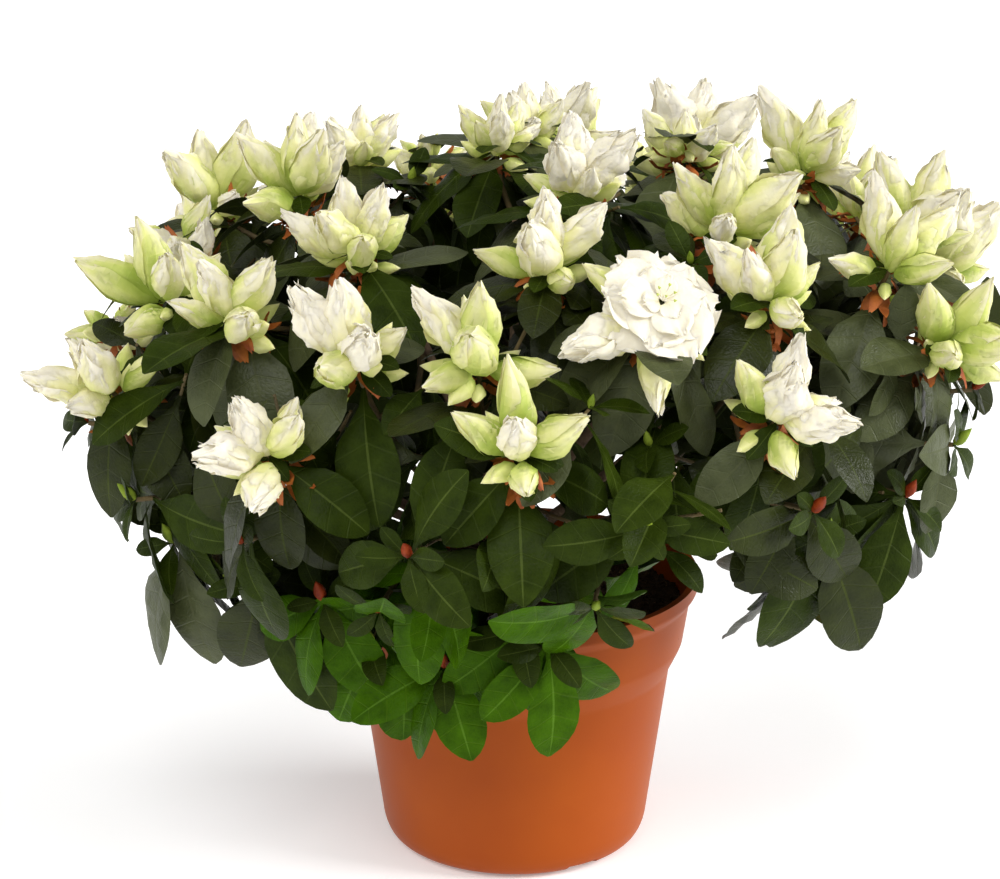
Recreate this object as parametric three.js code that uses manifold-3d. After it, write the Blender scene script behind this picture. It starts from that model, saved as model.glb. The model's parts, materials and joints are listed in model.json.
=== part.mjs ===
// A flowering pot azalea: a low, wide evergreen shrub in a round plastic nursery pot.
// Millimetres, +Z up. The origin is the centre of the pot's flat underside, and the front is -Y.
//
// The pot holds a root ball, the root ball carries a short trunk, and boughs leave the trunk in three tiers.
// Each bough ends in one mass: a stem that branches into shoots, each with a whorl of leaves and, high on the
// plant, a truss of pointed buds. The shoots' tips lie on a wide dome, in tiers of even spacing.

import * as THREE from "three";
import Module from "manifold-3d";

const wasm = await Module();
wasm.setup();

// ---------------------------------------------------------------- driving dimensions

const GAP = 0.3; // clearance between touching pieces
const GRID = 0.002; // corners lie on a grid this fine

const POT_HEIGHT = 100;
const RIM_RADIUS = 65; // outside the lip: a 13 cm pot
const LIP_WIDTH = 2.7;
const COLLAR_TOP = POT_HEIGHT - 8; // the lip starts here
const COLLAR_FOOT = 75.5;
const COLLAR_FOOT_RADIUS = 59.7;
const STEP_HEIGHT = 66; // the body meets the collar here
const BODY_RADIUS = 55.2; // at the step
const FOOT_RADIUS = 46; // where the body would meet the ground
const CORNER = 7; // rounding of the foot
const WALL = 1.5;
const FLOOR = 4.5; // solid under the hollow
const POT_SIDES = 32;
const NOTCH_COUNT = 3; // drain notches in the foot
const NOTCH_TURN = 33; // bearing of the first one, in degrees from the front
const NOTCH_WIDTH = 14;
const NOTCH_HEIGHT = 3.5;
const NOTCH_INNER_RADIUS = 36;

const SOIL_TOP = 90;
const SOIL_CROWN = 2; // the root ball is a little higher round the trunk

const TRUNK_TOP = 126;
const TRUNK_FLARE_RADIUS = 9;
const TRUNK_RADIUS = 6.4;
const TRUNK_TOP_RADIUS = 5.2;
const TRUNK_LEAN = 3; // sideways, over its height

const CROWN_CENTRE = new THREE.Vector3(7, 0, 175);
const CROWN_RADII = new THREE.Vector3(156, 146, 78); // to the shoots' tips, without buds and leaves
const CROWN_LEAN = 0.06; // the crown stands higher to the right, by this share of the distance
const FORK = new THREE.Vector3(0, 0, 112); // the boughs spread from about here

// Boughs, by tier: how many, the first one's bearing, where on the trunk they leave it, the slope of their
// foliage's middle seen from the fork, and how far out that middle is.
const BOUGH_TIERS = [
  { name: "low", count: 8, turn: -11, height: 102, slope: 25, reach: 98 },
  { name: "high", count: 5, turn: 12, height: 114, slope: 57, reach: 112 },
  { name: "top", count: 1, turn: 0, height: 122, slope: 90, reach: 118 },
];
const BOUGH_RADIUS = 2.3;
const BOUGH_TIP_RADIUS = 1.7;
const STEM_END_RADIUS = 1.1;
const BOUGH_SHARE = 0.66; // the share of a limb's length that is bare bough
const STAGGER = 5; // neighbouring boughs leave the trunk this much higher or lower

// Shoots, by tier: their height on the dome as an angle, how many, the first one's bearing and the step to the
// next, how many buds and leaves each has, and how much the leaves hang. A tier goes right round unless it
// gives a step.
const SHOOT_TIERS = [
  { rise: 74, count: 2, turn: 22, buds: 4, leaves: 5, droop: 0.2 },
  { rise: 57, count: 8, turn: 3, buds: 4, leaves: 5, droop: 0.2 },
  { rise: 36, count: 16, turn: 16.5, buds: 3, leaves: 5, droop: 0.3 },
  { rise: 13, count: 11, turn: 0, buds: 3, leaves: 6, droop: 0.4 },
  { rise: -10, count: 14, turn: 13, buds: 0, leaves: 8, droop: 0.5 },
  { rise: -36, count: 11, turn: -24, buds: 0, leaves: 8, droop: 0.7 },
  { rise: -53, count: 2, turn: -31, step: 26, buds: 0, leaves: 9, droop: 0.4 },
  { rise: -50, count: 3, turn: 120, step: 62, buds: 0, leaves: 8, droop: 0.4 },
];
const BEARING_JITTER = 6; // degrees, full width
const RISE_JITTER = 7;
const REACH_JITTER = 0.08; // share of the dome's radius
const UPWARD_PULL = 0.45; // how much a shoot turns up from straight outwards
const CELL_MARGIN = 0.5; // how far each mass stays inside its own space
const CORE_RADIUS = 27; // the packed inner growth of a mass
const CORE_ROUGHNESS = 0.3;
const TWIG_RADIUS = 1.0;
const TWIG_END_RADIUS = 0.75;

const LEAF_LENGTH = 45;
const LEAF_WIDTH = 24;
const LEAF_THICKNESS = 0.9;
const GOLDEN_ANGLE = 137.508;

const BUD_LENGTH = 28;
const BUD_RADIUS = 7;
const BLOOM_RADIUS = 26;
const BLOOM_TIER = 2; // the one open flower is the first shoot of this tier

const SEED = 9.4;

const COLOURS = {
  pot: 0xc2663a,
  soil: 0x3a2c20,
  bark: 0x6a5040,
  foliage: 0x35461f,
  topFoliage: 0xa9b06d,
};

// ---------------------------------------------------------------- small helpers

const UP = new THREE.Vector3(0, 0, 1);
const radians = THREE.MathUtils.degToRad;

// A repeatable number from 0 to 1 for up to three keys.
function chance(a, b = 0, c = 0) {
  const s = Math.sin(a * 12.9898 + b * 78.233 + c * 37.719 + SEED) * 43758.5453;
  return s - Math.floor(s);
}

const spread = (width, ...keys) => width * (chance(...keys) - 0.5);

// The unit vector at a bearing from the front, positive to the right, and a slope above the horizon.
function heading(bearing, slope) {
  const b = radians(bearing);
  const s = radians(slope);
  return new THREE.Vector3(
    Math.sin(b) * Math.cos(s),
    -Math.cos(b) * Math.cos(s),
    Math.sin(s),
  );
}

// Moves every corner to a fine grid, makes one of corners that then meet, and drops faces with no area left.
function onGrid(position, index) {
  const seen = new Map();
  const corners = [];
  const moved = Array.from({ length: position.length / 3 }, (_, i) => {
    const p = [0, 1, 2].map((k) => Math.round(position[3 * i + k] / GRID));
    const key = (p[0] + 1e5) * 1e11 + (p[1] + 1e5) * 3e5 + p[2] + 1e5;
    if (!seen.has(key)) {
      seen.set(key, corners.length / 3);
      corners.push(p[0] * GRID, p[1] * GRID, p[2] * GRID);
    }
    return seen.get(key);
  });
  const faces = [];
  for (let i = 0; i < index.length; i += 3) {
    const [p, q, r] = [moved[index[i]], moved[index[i + 1]], moved[index[i + 2]]];
    if (p !== q && q !== r && r !== p) faces.push(p, q, r);
  }
  return { corners, faces };
}

function closedMesh(positions, faces) {
  const g = new THREE.BufferGeometry();
  g.setAttribute("position", new THREE.Float32BufferAttribute(positions, 3));
  g.setIndex(faces);
  return g;
}

function solidOf(geometry) {
  const position = geometry.getAttribute("position").array;
  const index = geometry.index?.array ?? Array.from({ length: position.length / 3 }, (_, i) => i);
  const { corners, faces } = onGrid(position, index);
  return new wasm.Manifold(
    new wasm.Mesh({
      numProp: 3,
      vertProperties: new Float32Array(corners),
      triVerts: new Uint32Array(faces),
    }),
  );
}

function geometryOf(solid) {
  const m = solid.getMesh();
  const points = new Float32Array(m.numVert * 3);
  for (let i = 0; i < m.numVert; i++)
    points.set(
      m.vertProperties.subarray(i * m.numProp, i * m.numProp + 3),
      i * 3,
    );
  const g = new THREE.BufferGeometry();
  g.setAttribute("position", new THREE.BufferAttribute(points, 3));
  g.setIndex(new THREE.BufferAttribute(new Uint32Array(m.triVerts), 1));
  return g;
}

// Tells whether a solid is still one closed surface when its corners are on the grid: no edge meets another.
function soundOnGrid(solid) {
  const m = solid.getMesh();
  const { corners, faces } = onGrid(m.vertProperties, m.triVerts);
  const edges = new Set();
  for (let i = 0; i < faces.length; i++) {
    const next = i % 3 === 2 ? i - 2 : i + 1;
    edges.add(faces[i] * corners.length + faces[next]);
  }
  return edges.size === faces.length;
}

// The outer shell of the largest piece: a scrap that a join left loose is dropped, and a sealed hollow is filled.
function largest(solid) {
  return solid
    .decompose()
    .reduce((best, s) => (s.volume() > best.volume() ? s : best));
}

const joined = (solids) => solids.reduce((all, s) => all.add(s));

// A closed tube through rings of corners, each ring with its own centre, direction and radius.
function ringTube(rings, sides) {
  const positions = [];
  const faces = [];
  const side = new THREE.Vector3(1, 0.3, 0);
  rings.forEach(({ centre, direction, radius }) => {
    side.addScaledVector(direction, -side.dot(direction)).normalize();
    const other = new THREE.Vector3().crossVectors(direction, side);
    for (let k = 0; k < sides; k++) {
      const turn = (2 * Math.PI * k) / sides;
      const corner = centre.clone().addScaledVector(side, radius * Math.cos(turn));
      positions.push(...corner.addScaledVector(other, radius * Math.sin(turn)));
    }
  });
  const last = (rings.length - 1) * sides;
  for (let i = 0; i < last; i += sides)
    for (let k = 0; k < sides; k++) {
      const n = (k + 1) % sides;
      faces.push(i + k, i + n, i + sides + n, i + k, i + sides + n, i + sides + k);
    }
  for (let k = 1; k < sides - 1; k++) faces.push(0, k + 1, k, last, last + k, last + k + 1);
  return closedMesh(positions, faces);
}

const lerp = THREE.MathUtils.lerp;

// The stretch of a curve from one share of it to another, as a solid tube that tapers evenly.
function tubeAlong(curve, from, to, fromRadius, toRadius, steps, sides) {
  const rings = Array.from({ length: steps + 1 }, (_, i) => {
    const t = lerp(from, to, i / steps);
    return {
      centre: curve.getPoint(t),
      direction: curve.getTangent(t),
      radius: lerp(fromRadius, toRadius, i / steps),
    };
  });
  return solidOf(ringTube(rings, sides));
}

function lathe(profile, sides) {
  const points = profile.map(([r, z]) => new THREE.Vector2(r, z));
  return new THREE.LatheGeometry(points, sides).rotateX(Math.PI / 2);
}

// ---------------------------------------------------------------- pot and root ball

// The side of the pot from above the foot to under the lip, moved in by a distance.
function potSide(inset) {
  return [
    [BODY_RADIUS - inset, STEP_HEIGHT + inset * 0.5],
    [COLLAR_FOOT_RADIUS - 1.6 - inset, COLLAR_FOOT - 3.5 + inset * 0.5],
    [COLLAR_FOOT_RADIUS - inset, COLLAR_FOOT],
    [RIM_RADIUS - LIP_WIDTH - inset, COLLAR_TOP],
  ];
}

// How wide the body is at a height, by its taper.
const bodyRadius = (z) => lerp(FOOT_RADIUS, BODY_RADIUS, z / STEP_HEIGHT);

function potOutside() {
  return [
    [0, 0],
    [FOOT_RADIUS - CORNER, 0],
    [bodyRadius(0) - 0.4 * CORNER, 0.2 * CORNER],
    [bodyRadius(CORNER), CORNER],
    ...potSide(0),
    [RIM_RADIUS, COLLAR_TOP + 3.5],
    [RIM_RADIUS, POT_HEIGHT - 1],
    [RIM_RADIUS - 1, POT_HEIGHT],
    [0, POT_HEIGHT],
  ];
}

// The hollow, which the root ball fills a little smaller.
function potInside(inset, top) {
  const floor = FLOOR + inset - WALL;
  const side = potSide(inset);
  const [wallFoot, wallFootHeight] = side[side.length - 2];
  const [wallTop, wallTopHeight] = side.pop();
  const share = (top - wallFootHeight) / (wallTopHeight - wallFootHeight);
  return [
    [0, floor],
    [bodyRadius(floor) - inset, floor],
    ...side,
    [lerp(wallFoot, wallTop, share), top],
  ];
}

// A flat underside with drain notches cut into its edge.
function pot() {
  const outside = solidOf(lathe(potOutside(), POT_SIDES));
  const inside = [...potInside(WALL, POT_HEIGHT + 1), [0, POT_HEIGHT + 1]];
  const notches = Array.from({ length: NOTCH_COUNT }, (_, i) => {
    const turn = NOTCH_TURN + (360 / NOTCH_COUNT) * i;
    const box = new THREE.BoxGeometry(NOTCH_WIDTH, 20, 2 * NOTCH_HEIGHT);
    return solidOf(box.translate(0, -NOTCH_INNER_RADIUS - 10, 0).rotateZ(radians(turn)));
  });
  return outside.subtract(solidOf(lathe(inside, POT_SIDES))).subtract(joined(notches));
}

function rootBall() {
  const side = potInside(WALL + GAP, SOIL_TOP - SOIL_CROWN);
  return solidOf(
    lathe([...side, [TRUNK_FLARE_RADIUS + 14, SOIL_TOP], [0, SOIL_TOP]], POT_SIDES),
  );
}

// ---------------------------------------------------------------- trunk and boughs

function trunkCurve() {
  const foot = new THREE.Vector3(-TRUNK_LEAN, 0, SOIL_TOP + GAP);
  const middle = new THREE.Vector3(-TRUNK_LEAN, 0, (SOIL_TOP + TRUNK_TOP) / 2);
  return new THREE.QuadraticBezierCurve3(
    foot,
    middle,
    new THREE.Vector3(0, 0, TRUNK_TOP),
  );
}

// Flared at the foot, then a slow taper. Its foot is cut level with the root ball.
function trunk(extra = 0) {
  const curve = trunkCurve();
  const flare = TRUNK_FLARE_RADIUS - TRUNK_RADIUS;
  const rings = [0, 0.1, 0.25, 0.6, 1].map((t) => ({
    centre: curve.getPoint(t),
    direction: curve.getTangent(t),
    radius: lerp(TRUNK_RADIUS, TRUNK_TOP_RADIUS, t) + flare * (1 - t) ** 8 + extra,
  }));
  rings[0].centre.z -= 2;
  rings[rings.length - 1].centre.z += extra;
  const ground = new THREE.BoxGeometry(80, 80, 20);
  ground.translate(0, 0, SOIL_TOP + GAP - 10 - extra);
  return solidOf(ringTube(rings, 12)).subtract(solidOf(ground));
}

// One limb for each bough: it leaves the trunk nearly level, then climbs to the middle of its foliage.
function limbs() {
  return BOUGH_TIERS.flatMap((tier) =>
    Array.from({ length: tier.count }, (_, i) => {
      const bearing = tier.turn + (360 / tier.count) * i;
      const toHub = heading(bearing, tier.slope);
      const hub = FORK.clone().addScaledVector(toHub, tier.reach);
      const height = tier.height + (i % 2 ? STAGGER : 0);
      const start = trunkCurve().getPoint(
        (height - SOIL_TOP) / (TRUNK_TOP - SOIL_TOP),
      );
      const out = heading(bearing, lerp(20, 90, (tier.slope / 90) ** 2));
      const bend = start.clone().addScaledVector(out, tier.reach * 0.42);
      return {
        name: tier.count > 1 ? `${tier.name}_${i + 1}` : tier.name,
        hub,
        direction: toHub,
        curve: new THREE.QuadraticBezierCurve3(start, bend, hub),
      };
    }),
  );
}

// The bough itself: the limb's lower share, cut to sit on the trunk.
function bough(limb, extra = 0) {
  return tubeAlong(
    limb.curve,
    0,
    BOUGH_SHARE,
    BOUGH_RADIUS + extra,
    BOUGH_TIP_RADIUS + extra,
    4,
    6,
  );
}

// ---------------------------------------------------------------- where the shoots go

function onDome(bearing, rise, share) {
  const p = heading(bearing, rise).multiply(CROWN_RADII).multiplyScalar(share);
  p.z += CROWN_LEAN * p.x;
  return p.add(CROWN_CENTRE);
}

// Every shoot's tip, the way it points, and the limb whose foliage it belongs to.
function shoots(allLimbs) {
  return SHOOT_TIERS.flatMap((tier, t) =>
    Array.from({ length: tier.count }, (_, i) => {
      const id = 100 * t + i;
      const step = tier.step ?? 360 / tier.count;
      const bearing = tier.turn + step * i + spread(BEARING_JITTER, id, 1);
      const rise = tier.rise + spread(RISE_JITTER, id, 2);
      const tip = onDome(bearing, rise, 1 + spread(REACH_JITTER, id, 3));
      const axis = heading(bearing, rise)
        .divide(CROWN_RADII)
        .normalize()
        .addScaledVector(UP, UPWARD_PULL)
        .normalize();
      const fromFork = tip.clone().sub(FORK).normalize();
      const limb = allLimbs.reduce((best, l) =>
        l.direction.dot(fromFork) > best.direction.dot(fromFork) ? l : best,
      );
      const open = t === BLOOM_TIER && i === 0;
      return { id, tip, axis, limb, open, tier };
    }),
  );
}

// Each mass keeps to the cone of space that is nearer its own limb's direction than any other's.
function insideCone(point, limb, allLimbs, margin) {
  const v = point.clone().sub(FORK);
  return allLimbs.every((other) => {
    if (other === limb) return true;
    const apart = limb.direction.clone().sub(other.direction);
    return apart.dot(v) >= margin * apart.length();
  });
}

// ---------------------------------------------------------------- leaves, buds and the open flower

// A frame with x along the piece and z as near to the wanted facing as it can be.
function placing(at, along, facing) {
  const x = along.clone().normalize();
  const z = facing.clone().addScaledVector(x, -facing.dot(x));
  if (z.lengthSq() < 1e-6) z.set(x.z, x.x, x.y);
  z.normalize();
  const y = new THREE.Vector3().crossVectors(z, x);
  return new THREE.Matrix4().makeBasis(x, y, z).setPosition(at);
}

// Twelve faces: six corners round the blade, broadest past the middle, and one corner above and one below it.
function leaf(length, width, sag) {
  const shoulder = [0.3 * length, 0.4 * width, -0.2 * sag];
  const cheek = [0.7 * length, 0.5 * width, -0.5 * sag];
  const mirrored = ([x, y, z]) => [x, -y, z];
  const points = [
    [-0.2, 0, 0],
    shoulder,
    cheek,
    [length, 0, -sag],
    mirrored(cheek),
    mirrored(shoulder),
    [0.5 * length, 0, LEAF_THICKNESS / 2],
    [0.5 * length, 0, -LEAF_THICKNESS / 2],
  ];
  const faces = [];
  for (let i = 0; i < 6; i++) {
    const n = (i + 1) % 6;
    faces.push(n, i, 6, i, n, 7);
  }
  return closedMesh(points.flat(), faces);
}

// A pointed bud along x, fullest at a third of its length.
function bud(length, radius) {
  return lathe(
    [
      [0, -0.3],
      [radius, length * 0.4],
      [radius * 0.72, length * 0.68],
      [0, length],
    ],
    4,
  ).rotateY(Math.PI / 2);
}

// The open flower faces along x: a shallow bowl with a scalloped edge and a raised heart.
function bloom(radius) {
  const petals = 8;
  const outline = [];
  for (let i = 0; i < 2 * petals; i++) {
    const r = i % 2 ? radius : radius * 0.84;
    const turn = (Math.PI * i) / petals;
    outline.push([radius * (i % 2 ? 0.5 : 0.42), r * Math.cos(turn), r * Math.sin(turn)]);
  }
  const points = [[radius * 0.55, 0, 0], ...outline, [-0.3, 0, 0]];
  const faces = [];
  const back = points.length - 1;
  for (let i = 0; i < outline.length; i++) {
    const a = 1 + i;
    const b = 1 + ((i + 1) % outline.length);
    faces.push(0, a, b, back, b, a);
  }
  return closedMesh(points.flat(), faces);
}

// ---------------------------------------------------------------- one mass of foliage

// Directions round an axis: tilted from it by an angle, at a turn about it.
function around(axis, tilt, turn) {
  const side = new THREE.Vector3().crossVectors(axis, UP);
  if (side.lengthSq() < 1e-4) side.set(1, 0, 0);
  side.normalize().applyAxisAngle(axis, radians(turn));
  return axis
    .clone()
    .multiplyScalar(Math.cos(radians(tilt)))
    .addScaledVector(side, Math.sin(radians(tilt)));
}

// A rough ball round the outer end of the stem.
function core(limb) {
  const ball = new THREE.OctahedronGeometry(CORE_RADIUS, 2);
  const p = ball.getAttribute("position");
  const seen = new Map();
  for (let i = 0; i < p.count; i++) {
    const v = new THREE.Vector3().fromBufferAttribute(p, i);
    const key = v.toArray().map((c) => c.toFixed(2)).join();
    if (!seen.has(key)) seen.set(key, 1 + spread(CORE_ROUGHNESS, seen.size, limb.hub.x));
    v.multiplyScalar(seen.get(key));
    p.setXYZ(i, v.x, v.y, 0.8 * v.z);
  }
  return solidOf(ball.translate(...limb.curve.getPoint(0.93)));
}

// The growing mass of one limb. A piece is only added where it keeps to the mass's own space, off the limbs and
// the pot, and off what the mass already holds.
class Mass {
  constructor(limb, limbs, keepOut) {
    this.limb = limb;
    this.limbs = limbs;
    this.keepOut = keepOut;
    this.stemStart = BOUGH_SHARE + GAP / limb.curve.getLength();
    this.solid = tubeAlong(limb.curve, this.stemStart, 1, BOUGH_TIP_RADIUS, STEM_END_RADIUS, 3, 5);
    this.solid = this.solid.add(core(limb));
  }

  inside(point, margin) {
    return insideCone(point, this.limb, this.limbs, margin);
  }

  hasRoomFor(trial, taken) {
    const m = trial.getMesh();
    for (let i = 0; i < m.numVert; i++) {
      const corner = new THREE.Vector3().fromArray(m.vertProperties, i * m.numProp);
      if (!this.inside(corner, CELL_MARGIN)) return false;
    }
    return trial.intersect(this.keepOut).isEmpty() && trial.intersect(taken).isEmpty();
  }

  // The trial leaves out the piece's first stretch, which has to meet the twig.
  place(shape, matrix, firstStretch, taken = this.solid) {
    shape.computeBoundingBox();
    const rest = 1 - firstStretch / shape.boundingBox.max.x;
    const short = shape.clone().scale(rest, 1, 1).translate(firstStretch, 0, 0);
    if (!this.hasRoomFor(solidOf(short.applyMatrix4(matrix)), taken)) return false;
    const grown = this.solid.add(solidOf(shape.clone().applyMatrix4(matrix)));
    if (!soundOnGrid(grown)) return false;
    this.solid = grown;
    return true;
  }

  // A twig from the stem to the shoot's tip, bent so that it arrives along the shoot's axis.
  addTwig({ tip, axis }, share) {
    const start = this.limb.curve.getPoint(lerp(this.stemStart + 0.05, 0.99, share));
    const bend = tip.clone().addScaledVector(axis, -0.4 * tip.distanceTo(start));
    const middle = start.clone().lerp(tip, 0.5);
    for (let pull = 0; pull < 6 && !this.inside(bend, 3); pull++) bend.lerp(middle, 0.35);
    const curve = new THREE.QuadraticBezierCurve3(start, bend, tip);
    this.solid = this.solid.add(tubeAlong(curve, 0, 1, TWIG_RADIUS, TWIG_END_RADIUS, 2, 3));
    return curve;
  }

  // One upright bud with the others leaning out round it.
  addBuds({ id, axis, tier }, twig) {
    const before = this.solid;
    for (let k = 0; k < tier.buds; k++) {
      const size = 1.04 - 0.24 * chance(id, k, 8);
      const shape = bud(BUD_LENGTH * size, BUD_RADIUS * size);
      const at = twig.getPoint(k ? 0.985 : 0.998);
      const turn = 120 * k + 360 * chance(id, 10);
      for (let attempt = 0; attempt < 3; attempt++) {
        const tilt = (k ? 48 + spread(12, id, k, 9) : 4) * (1 - 0.15 * attempt);
        if (this.place(shape, placing(at, around(axis, tilt, turn), UP), 12, before)) break;
      }
    }
  }

  // Leaves in a spiral below the tip. One that doesn't fit tries again: smaller, more upright and turned.
  addLeaves({ id, axis, tier }, twig) {
    for (let k = 0; k < tier.leaves; k++) {
      const size = 1.04 - 0.26 * chance(id, k, 5);
      for (let attempt = 0; attempt < 5; attempt++) {
        const tilt = 90 + 6 * k + spread(16, id, k) - 10 * attempt;
        const turn = GOLDEN_ANGLE * k + 360 * chance(id, 6) + 17 * attempt;
        const along = around(axis, tilt, turn);
        along.z -= tier.droop;
        const scale = size * (1 - 0.07 * attempt);
        const shape = leaf(LEAF_LENGTH * scale, LEAF_WIDTH * scale, 5 * scale);
        if (this.place(shape, placing(twig.getPoint(0.965 - 0.035 * k), along, axis), 5)) break;
      }
    }
  }
}

// All of a limb's twigs come before its leaves, so that no leaf crosses one.
function foliage(limb, ownShoots, limbs, keepOut) {
  const mass = new Mass(limb, limbs, keepOut);
  const twigs = ownShoots.map((shoot, n) => mass.addTwig(shoot, (n + 1) / ownShoots.length));
  ownShoots.forEach((shoot, n) => {
    if (shoot.open) mass.place(bloom(BLOOM_RADIUS), placing(shoot.tip, shoot.axis, UP), 5);
    else mass.addBuds(shoot, twigs[n]);
    mass.addLeaves(shoot, twigs[n]);
  });
  return largest(mass.solid);
}

// ---------------------------------------------------------------- the whole plant

const plant = new THREE.Group();

function addPiece(name, solid, colour, roughness) {
  const material = new THREE.MeshStandardMaterial({
    color: colour,
    roughness,
    metalness: 0,
  });
  const welded = largest(solidOf(geometryOf(solid)));
  const geometry = geometryOf(welded);
  geometry.computeVertexNormals();
  const mesh = new THREE.Mesh(geometry, material);
  mesh.name = name;
  plant.add(mesh);
}

const potSolid = pot();
const rootBallSolid = rootBall();
addPiece("pot", potSolid, COLOURS.pot, 0.55);
addPiece("root_ball", rootBallSolid, COLOURS.soil, 0.95);
addPiece("trunk", trunk(), COLOURS.bark, 0.85);

const allLimbs = limbs();
const seat = trunk(GAP);
allLimbs.forEach((limb) =>
  addPiece(
    `bough_${limb.name}`,
    largest(bough(limb).subtract(seat)),
    COLOURS.bark,
    0.85,
  ),
);

// What foliage has to stay clear of: the limbs, a little fatter than they are, and the pot with what it holds.
const keepOut = joined([
  trunk(2 * GAP),
  ...allLimbs.map((limb) => bough(limb, 2 * GAP)),
  solidOf(lathe(potOutside().map(([r, z]) => [r && r + 1, z && z + 1]), 24)),
]);
const allShoots = shoots(allLimbs);
allLimbs.forEach((limb) => {
  const own = allShoots.filter((s) => s.limb === limb);
  const colour = limb.name.startsWith("low") ? COLOURS.foliage : COLOURS.topFoliage;
  addPiece(`foliage_${limb.name}`, foliage(limb, own, allLimbs, keepOut), colour, 0.7);
});

export default plant;
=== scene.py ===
# %% [markdown]
# # A flowering pot azalea
# A small evergreen shrub, covered in pale pointed buds, stands in a round terracotta-coloured nursery pot.
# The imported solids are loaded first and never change. They say where the pot, trunk and boughs are, and how
# far the foliage reaches. Everything below grows finer pieces round that frame, in the same metres.

import json
import math
from itertools import combinations

import bpy
import numpy as np
from mathutils import Matrix, Quaternion, Vector
from mathutils.bvhtree import BVHTree

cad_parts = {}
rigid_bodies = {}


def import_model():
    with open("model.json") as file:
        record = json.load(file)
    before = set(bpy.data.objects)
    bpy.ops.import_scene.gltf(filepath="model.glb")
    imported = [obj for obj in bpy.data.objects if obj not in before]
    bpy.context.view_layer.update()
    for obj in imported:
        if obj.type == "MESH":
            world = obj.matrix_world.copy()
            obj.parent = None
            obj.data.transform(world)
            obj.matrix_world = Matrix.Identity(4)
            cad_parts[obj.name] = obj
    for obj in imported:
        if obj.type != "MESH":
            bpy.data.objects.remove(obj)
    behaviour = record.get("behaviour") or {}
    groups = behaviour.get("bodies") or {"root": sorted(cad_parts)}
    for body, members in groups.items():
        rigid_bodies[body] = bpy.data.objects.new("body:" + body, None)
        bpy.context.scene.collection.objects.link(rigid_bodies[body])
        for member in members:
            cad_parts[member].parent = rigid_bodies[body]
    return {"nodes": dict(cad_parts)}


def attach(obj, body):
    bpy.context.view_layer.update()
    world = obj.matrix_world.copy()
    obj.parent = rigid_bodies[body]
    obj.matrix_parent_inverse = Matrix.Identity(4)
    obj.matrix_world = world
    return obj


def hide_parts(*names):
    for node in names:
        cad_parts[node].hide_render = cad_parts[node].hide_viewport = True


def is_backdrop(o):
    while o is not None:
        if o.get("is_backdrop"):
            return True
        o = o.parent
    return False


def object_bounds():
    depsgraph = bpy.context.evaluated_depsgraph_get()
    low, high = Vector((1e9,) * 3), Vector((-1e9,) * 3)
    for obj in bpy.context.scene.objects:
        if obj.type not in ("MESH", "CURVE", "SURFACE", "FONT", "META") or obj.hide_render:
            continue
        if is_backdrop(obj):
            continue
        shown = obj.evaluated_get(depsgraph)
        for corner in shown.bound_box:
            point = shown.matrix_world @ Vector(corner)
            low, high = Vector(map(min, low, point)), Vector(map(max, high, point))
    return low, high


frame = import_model()
cad_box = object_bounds()
print("plant box, metres:", [tuple(round(x, 4) for x in corner) for corner in cad_box])

# %% [markdown]
# ## Camera and studio
# A catalogue picture of a pot plant is taken from a little above the leaves, with a long lens so that the pot
# doesn't taper away. A white backdrop wraps the light round the plant. One soft lamp stands in front, a
# stronger one to the right gives the pot its lighter side, and a weak one fills in from the left. A sun lamp
# with a wide angle acts as a softbox of that width, far away: it lights the whole floor evenly and still
# blurs each shadow. The backdrop is dimmer than the lamps, because a leaf's skin mirrors what is round it,
# and an all-white room would turn dark leaves grey.

# %% Camera, lamps and floor
MM = 0.001
scene = bpy.context.scene
scene.view_settings.view_transform = "Standard"

LOOK_AT = Vector((-5.3, 0, 149)) * MM
CAMERA_DISTANCE = 1334 * MM
CAMERA_RISE = 19.1
FLOOR_HALF = 6


def heading(bearing, slope):
    """The unit vector at a bearing from the front, positive to the right, and a slope above level."""
    b, s = math.radians(bearing), math.radians(slope)
    return Vector((math.sin(b) * math.cos(s), -math.cos(b) * math.cos(s), math.sin(s)))


def add_to_scene(name, data):
    added = bpy.data.objects.new(name, data)
    scene.collection.objects.link(added)
    return added


def aim(thing, direction, axis):
    thing.rotation_mode = "QUATERNION"
    thing.rotation_quaternion = direction.to_track_quat(axis, "Y")


camera = scene.camera = add_to_scene("camera", bpy.data.cameras.new("camera"))
camera.data.lens, camera.data.sensor_width = 137, 36
back = heading(0, CAMERA_RISE)
camera.location = LOOK_AT + back * CAMERA_DISTANCE
aim(camera, -back, "-Z")

SOFTBOXES = (
    # name, bearing, rise, width in degrees, strength
    ("front_softbox", -12, 50, 34, 1.55),
    ("right_softbox", 80, 26, 30, 3.5),
    ("left_softbox", -75, 34, 50, 0.8),
)
for name, bearing, rise, width, strength in SOFTBOXES:
    lamp = add_to_scene(name, bpy.data.lights.new(name, "SUN"))
    lamp.data.angle, lamp.data.energy = math.radians(width), strength
    aim(lamp, heading(bearing, rise), "Z")

world = bpy.data.worlds.new("white_studio")
world.use_nodes = True
backdrop = world.node_tree.nodes["Background"].inputs
backdrop["Color"].default_value, backdrop["Strength"].default_value = (1, 1, 1, 1), 0.4
scene.world = world

floor_mesh = bpy.data.meshes.new("studio_floor")
corners = [(x * FLOOR_HALF, y * FLOOR_HALF, 0) for x, y in ((-1, -1), (1, -1), (1, 1), (-1, 1))]
floor_mesh.from_pydata(corners, [], [(0, 1, 2, 3)])
studio_floor = add_to_scene("studio_floor", floor_mesh)
studio_floor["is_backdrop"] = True
print("camera at", tuple(round(x, 3) for x in camera.location))

# %% [markdown]
# ## Colours and nodes
# A colour picked on a screen is an sRGB value, and a renderer adds up light in linear values, so each hex
# colour goes through one function. A second small function adds a node of any kind with its settings and
# links, which keeps every material and every Geometry Nodes tree a readable list of steps.

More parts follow.
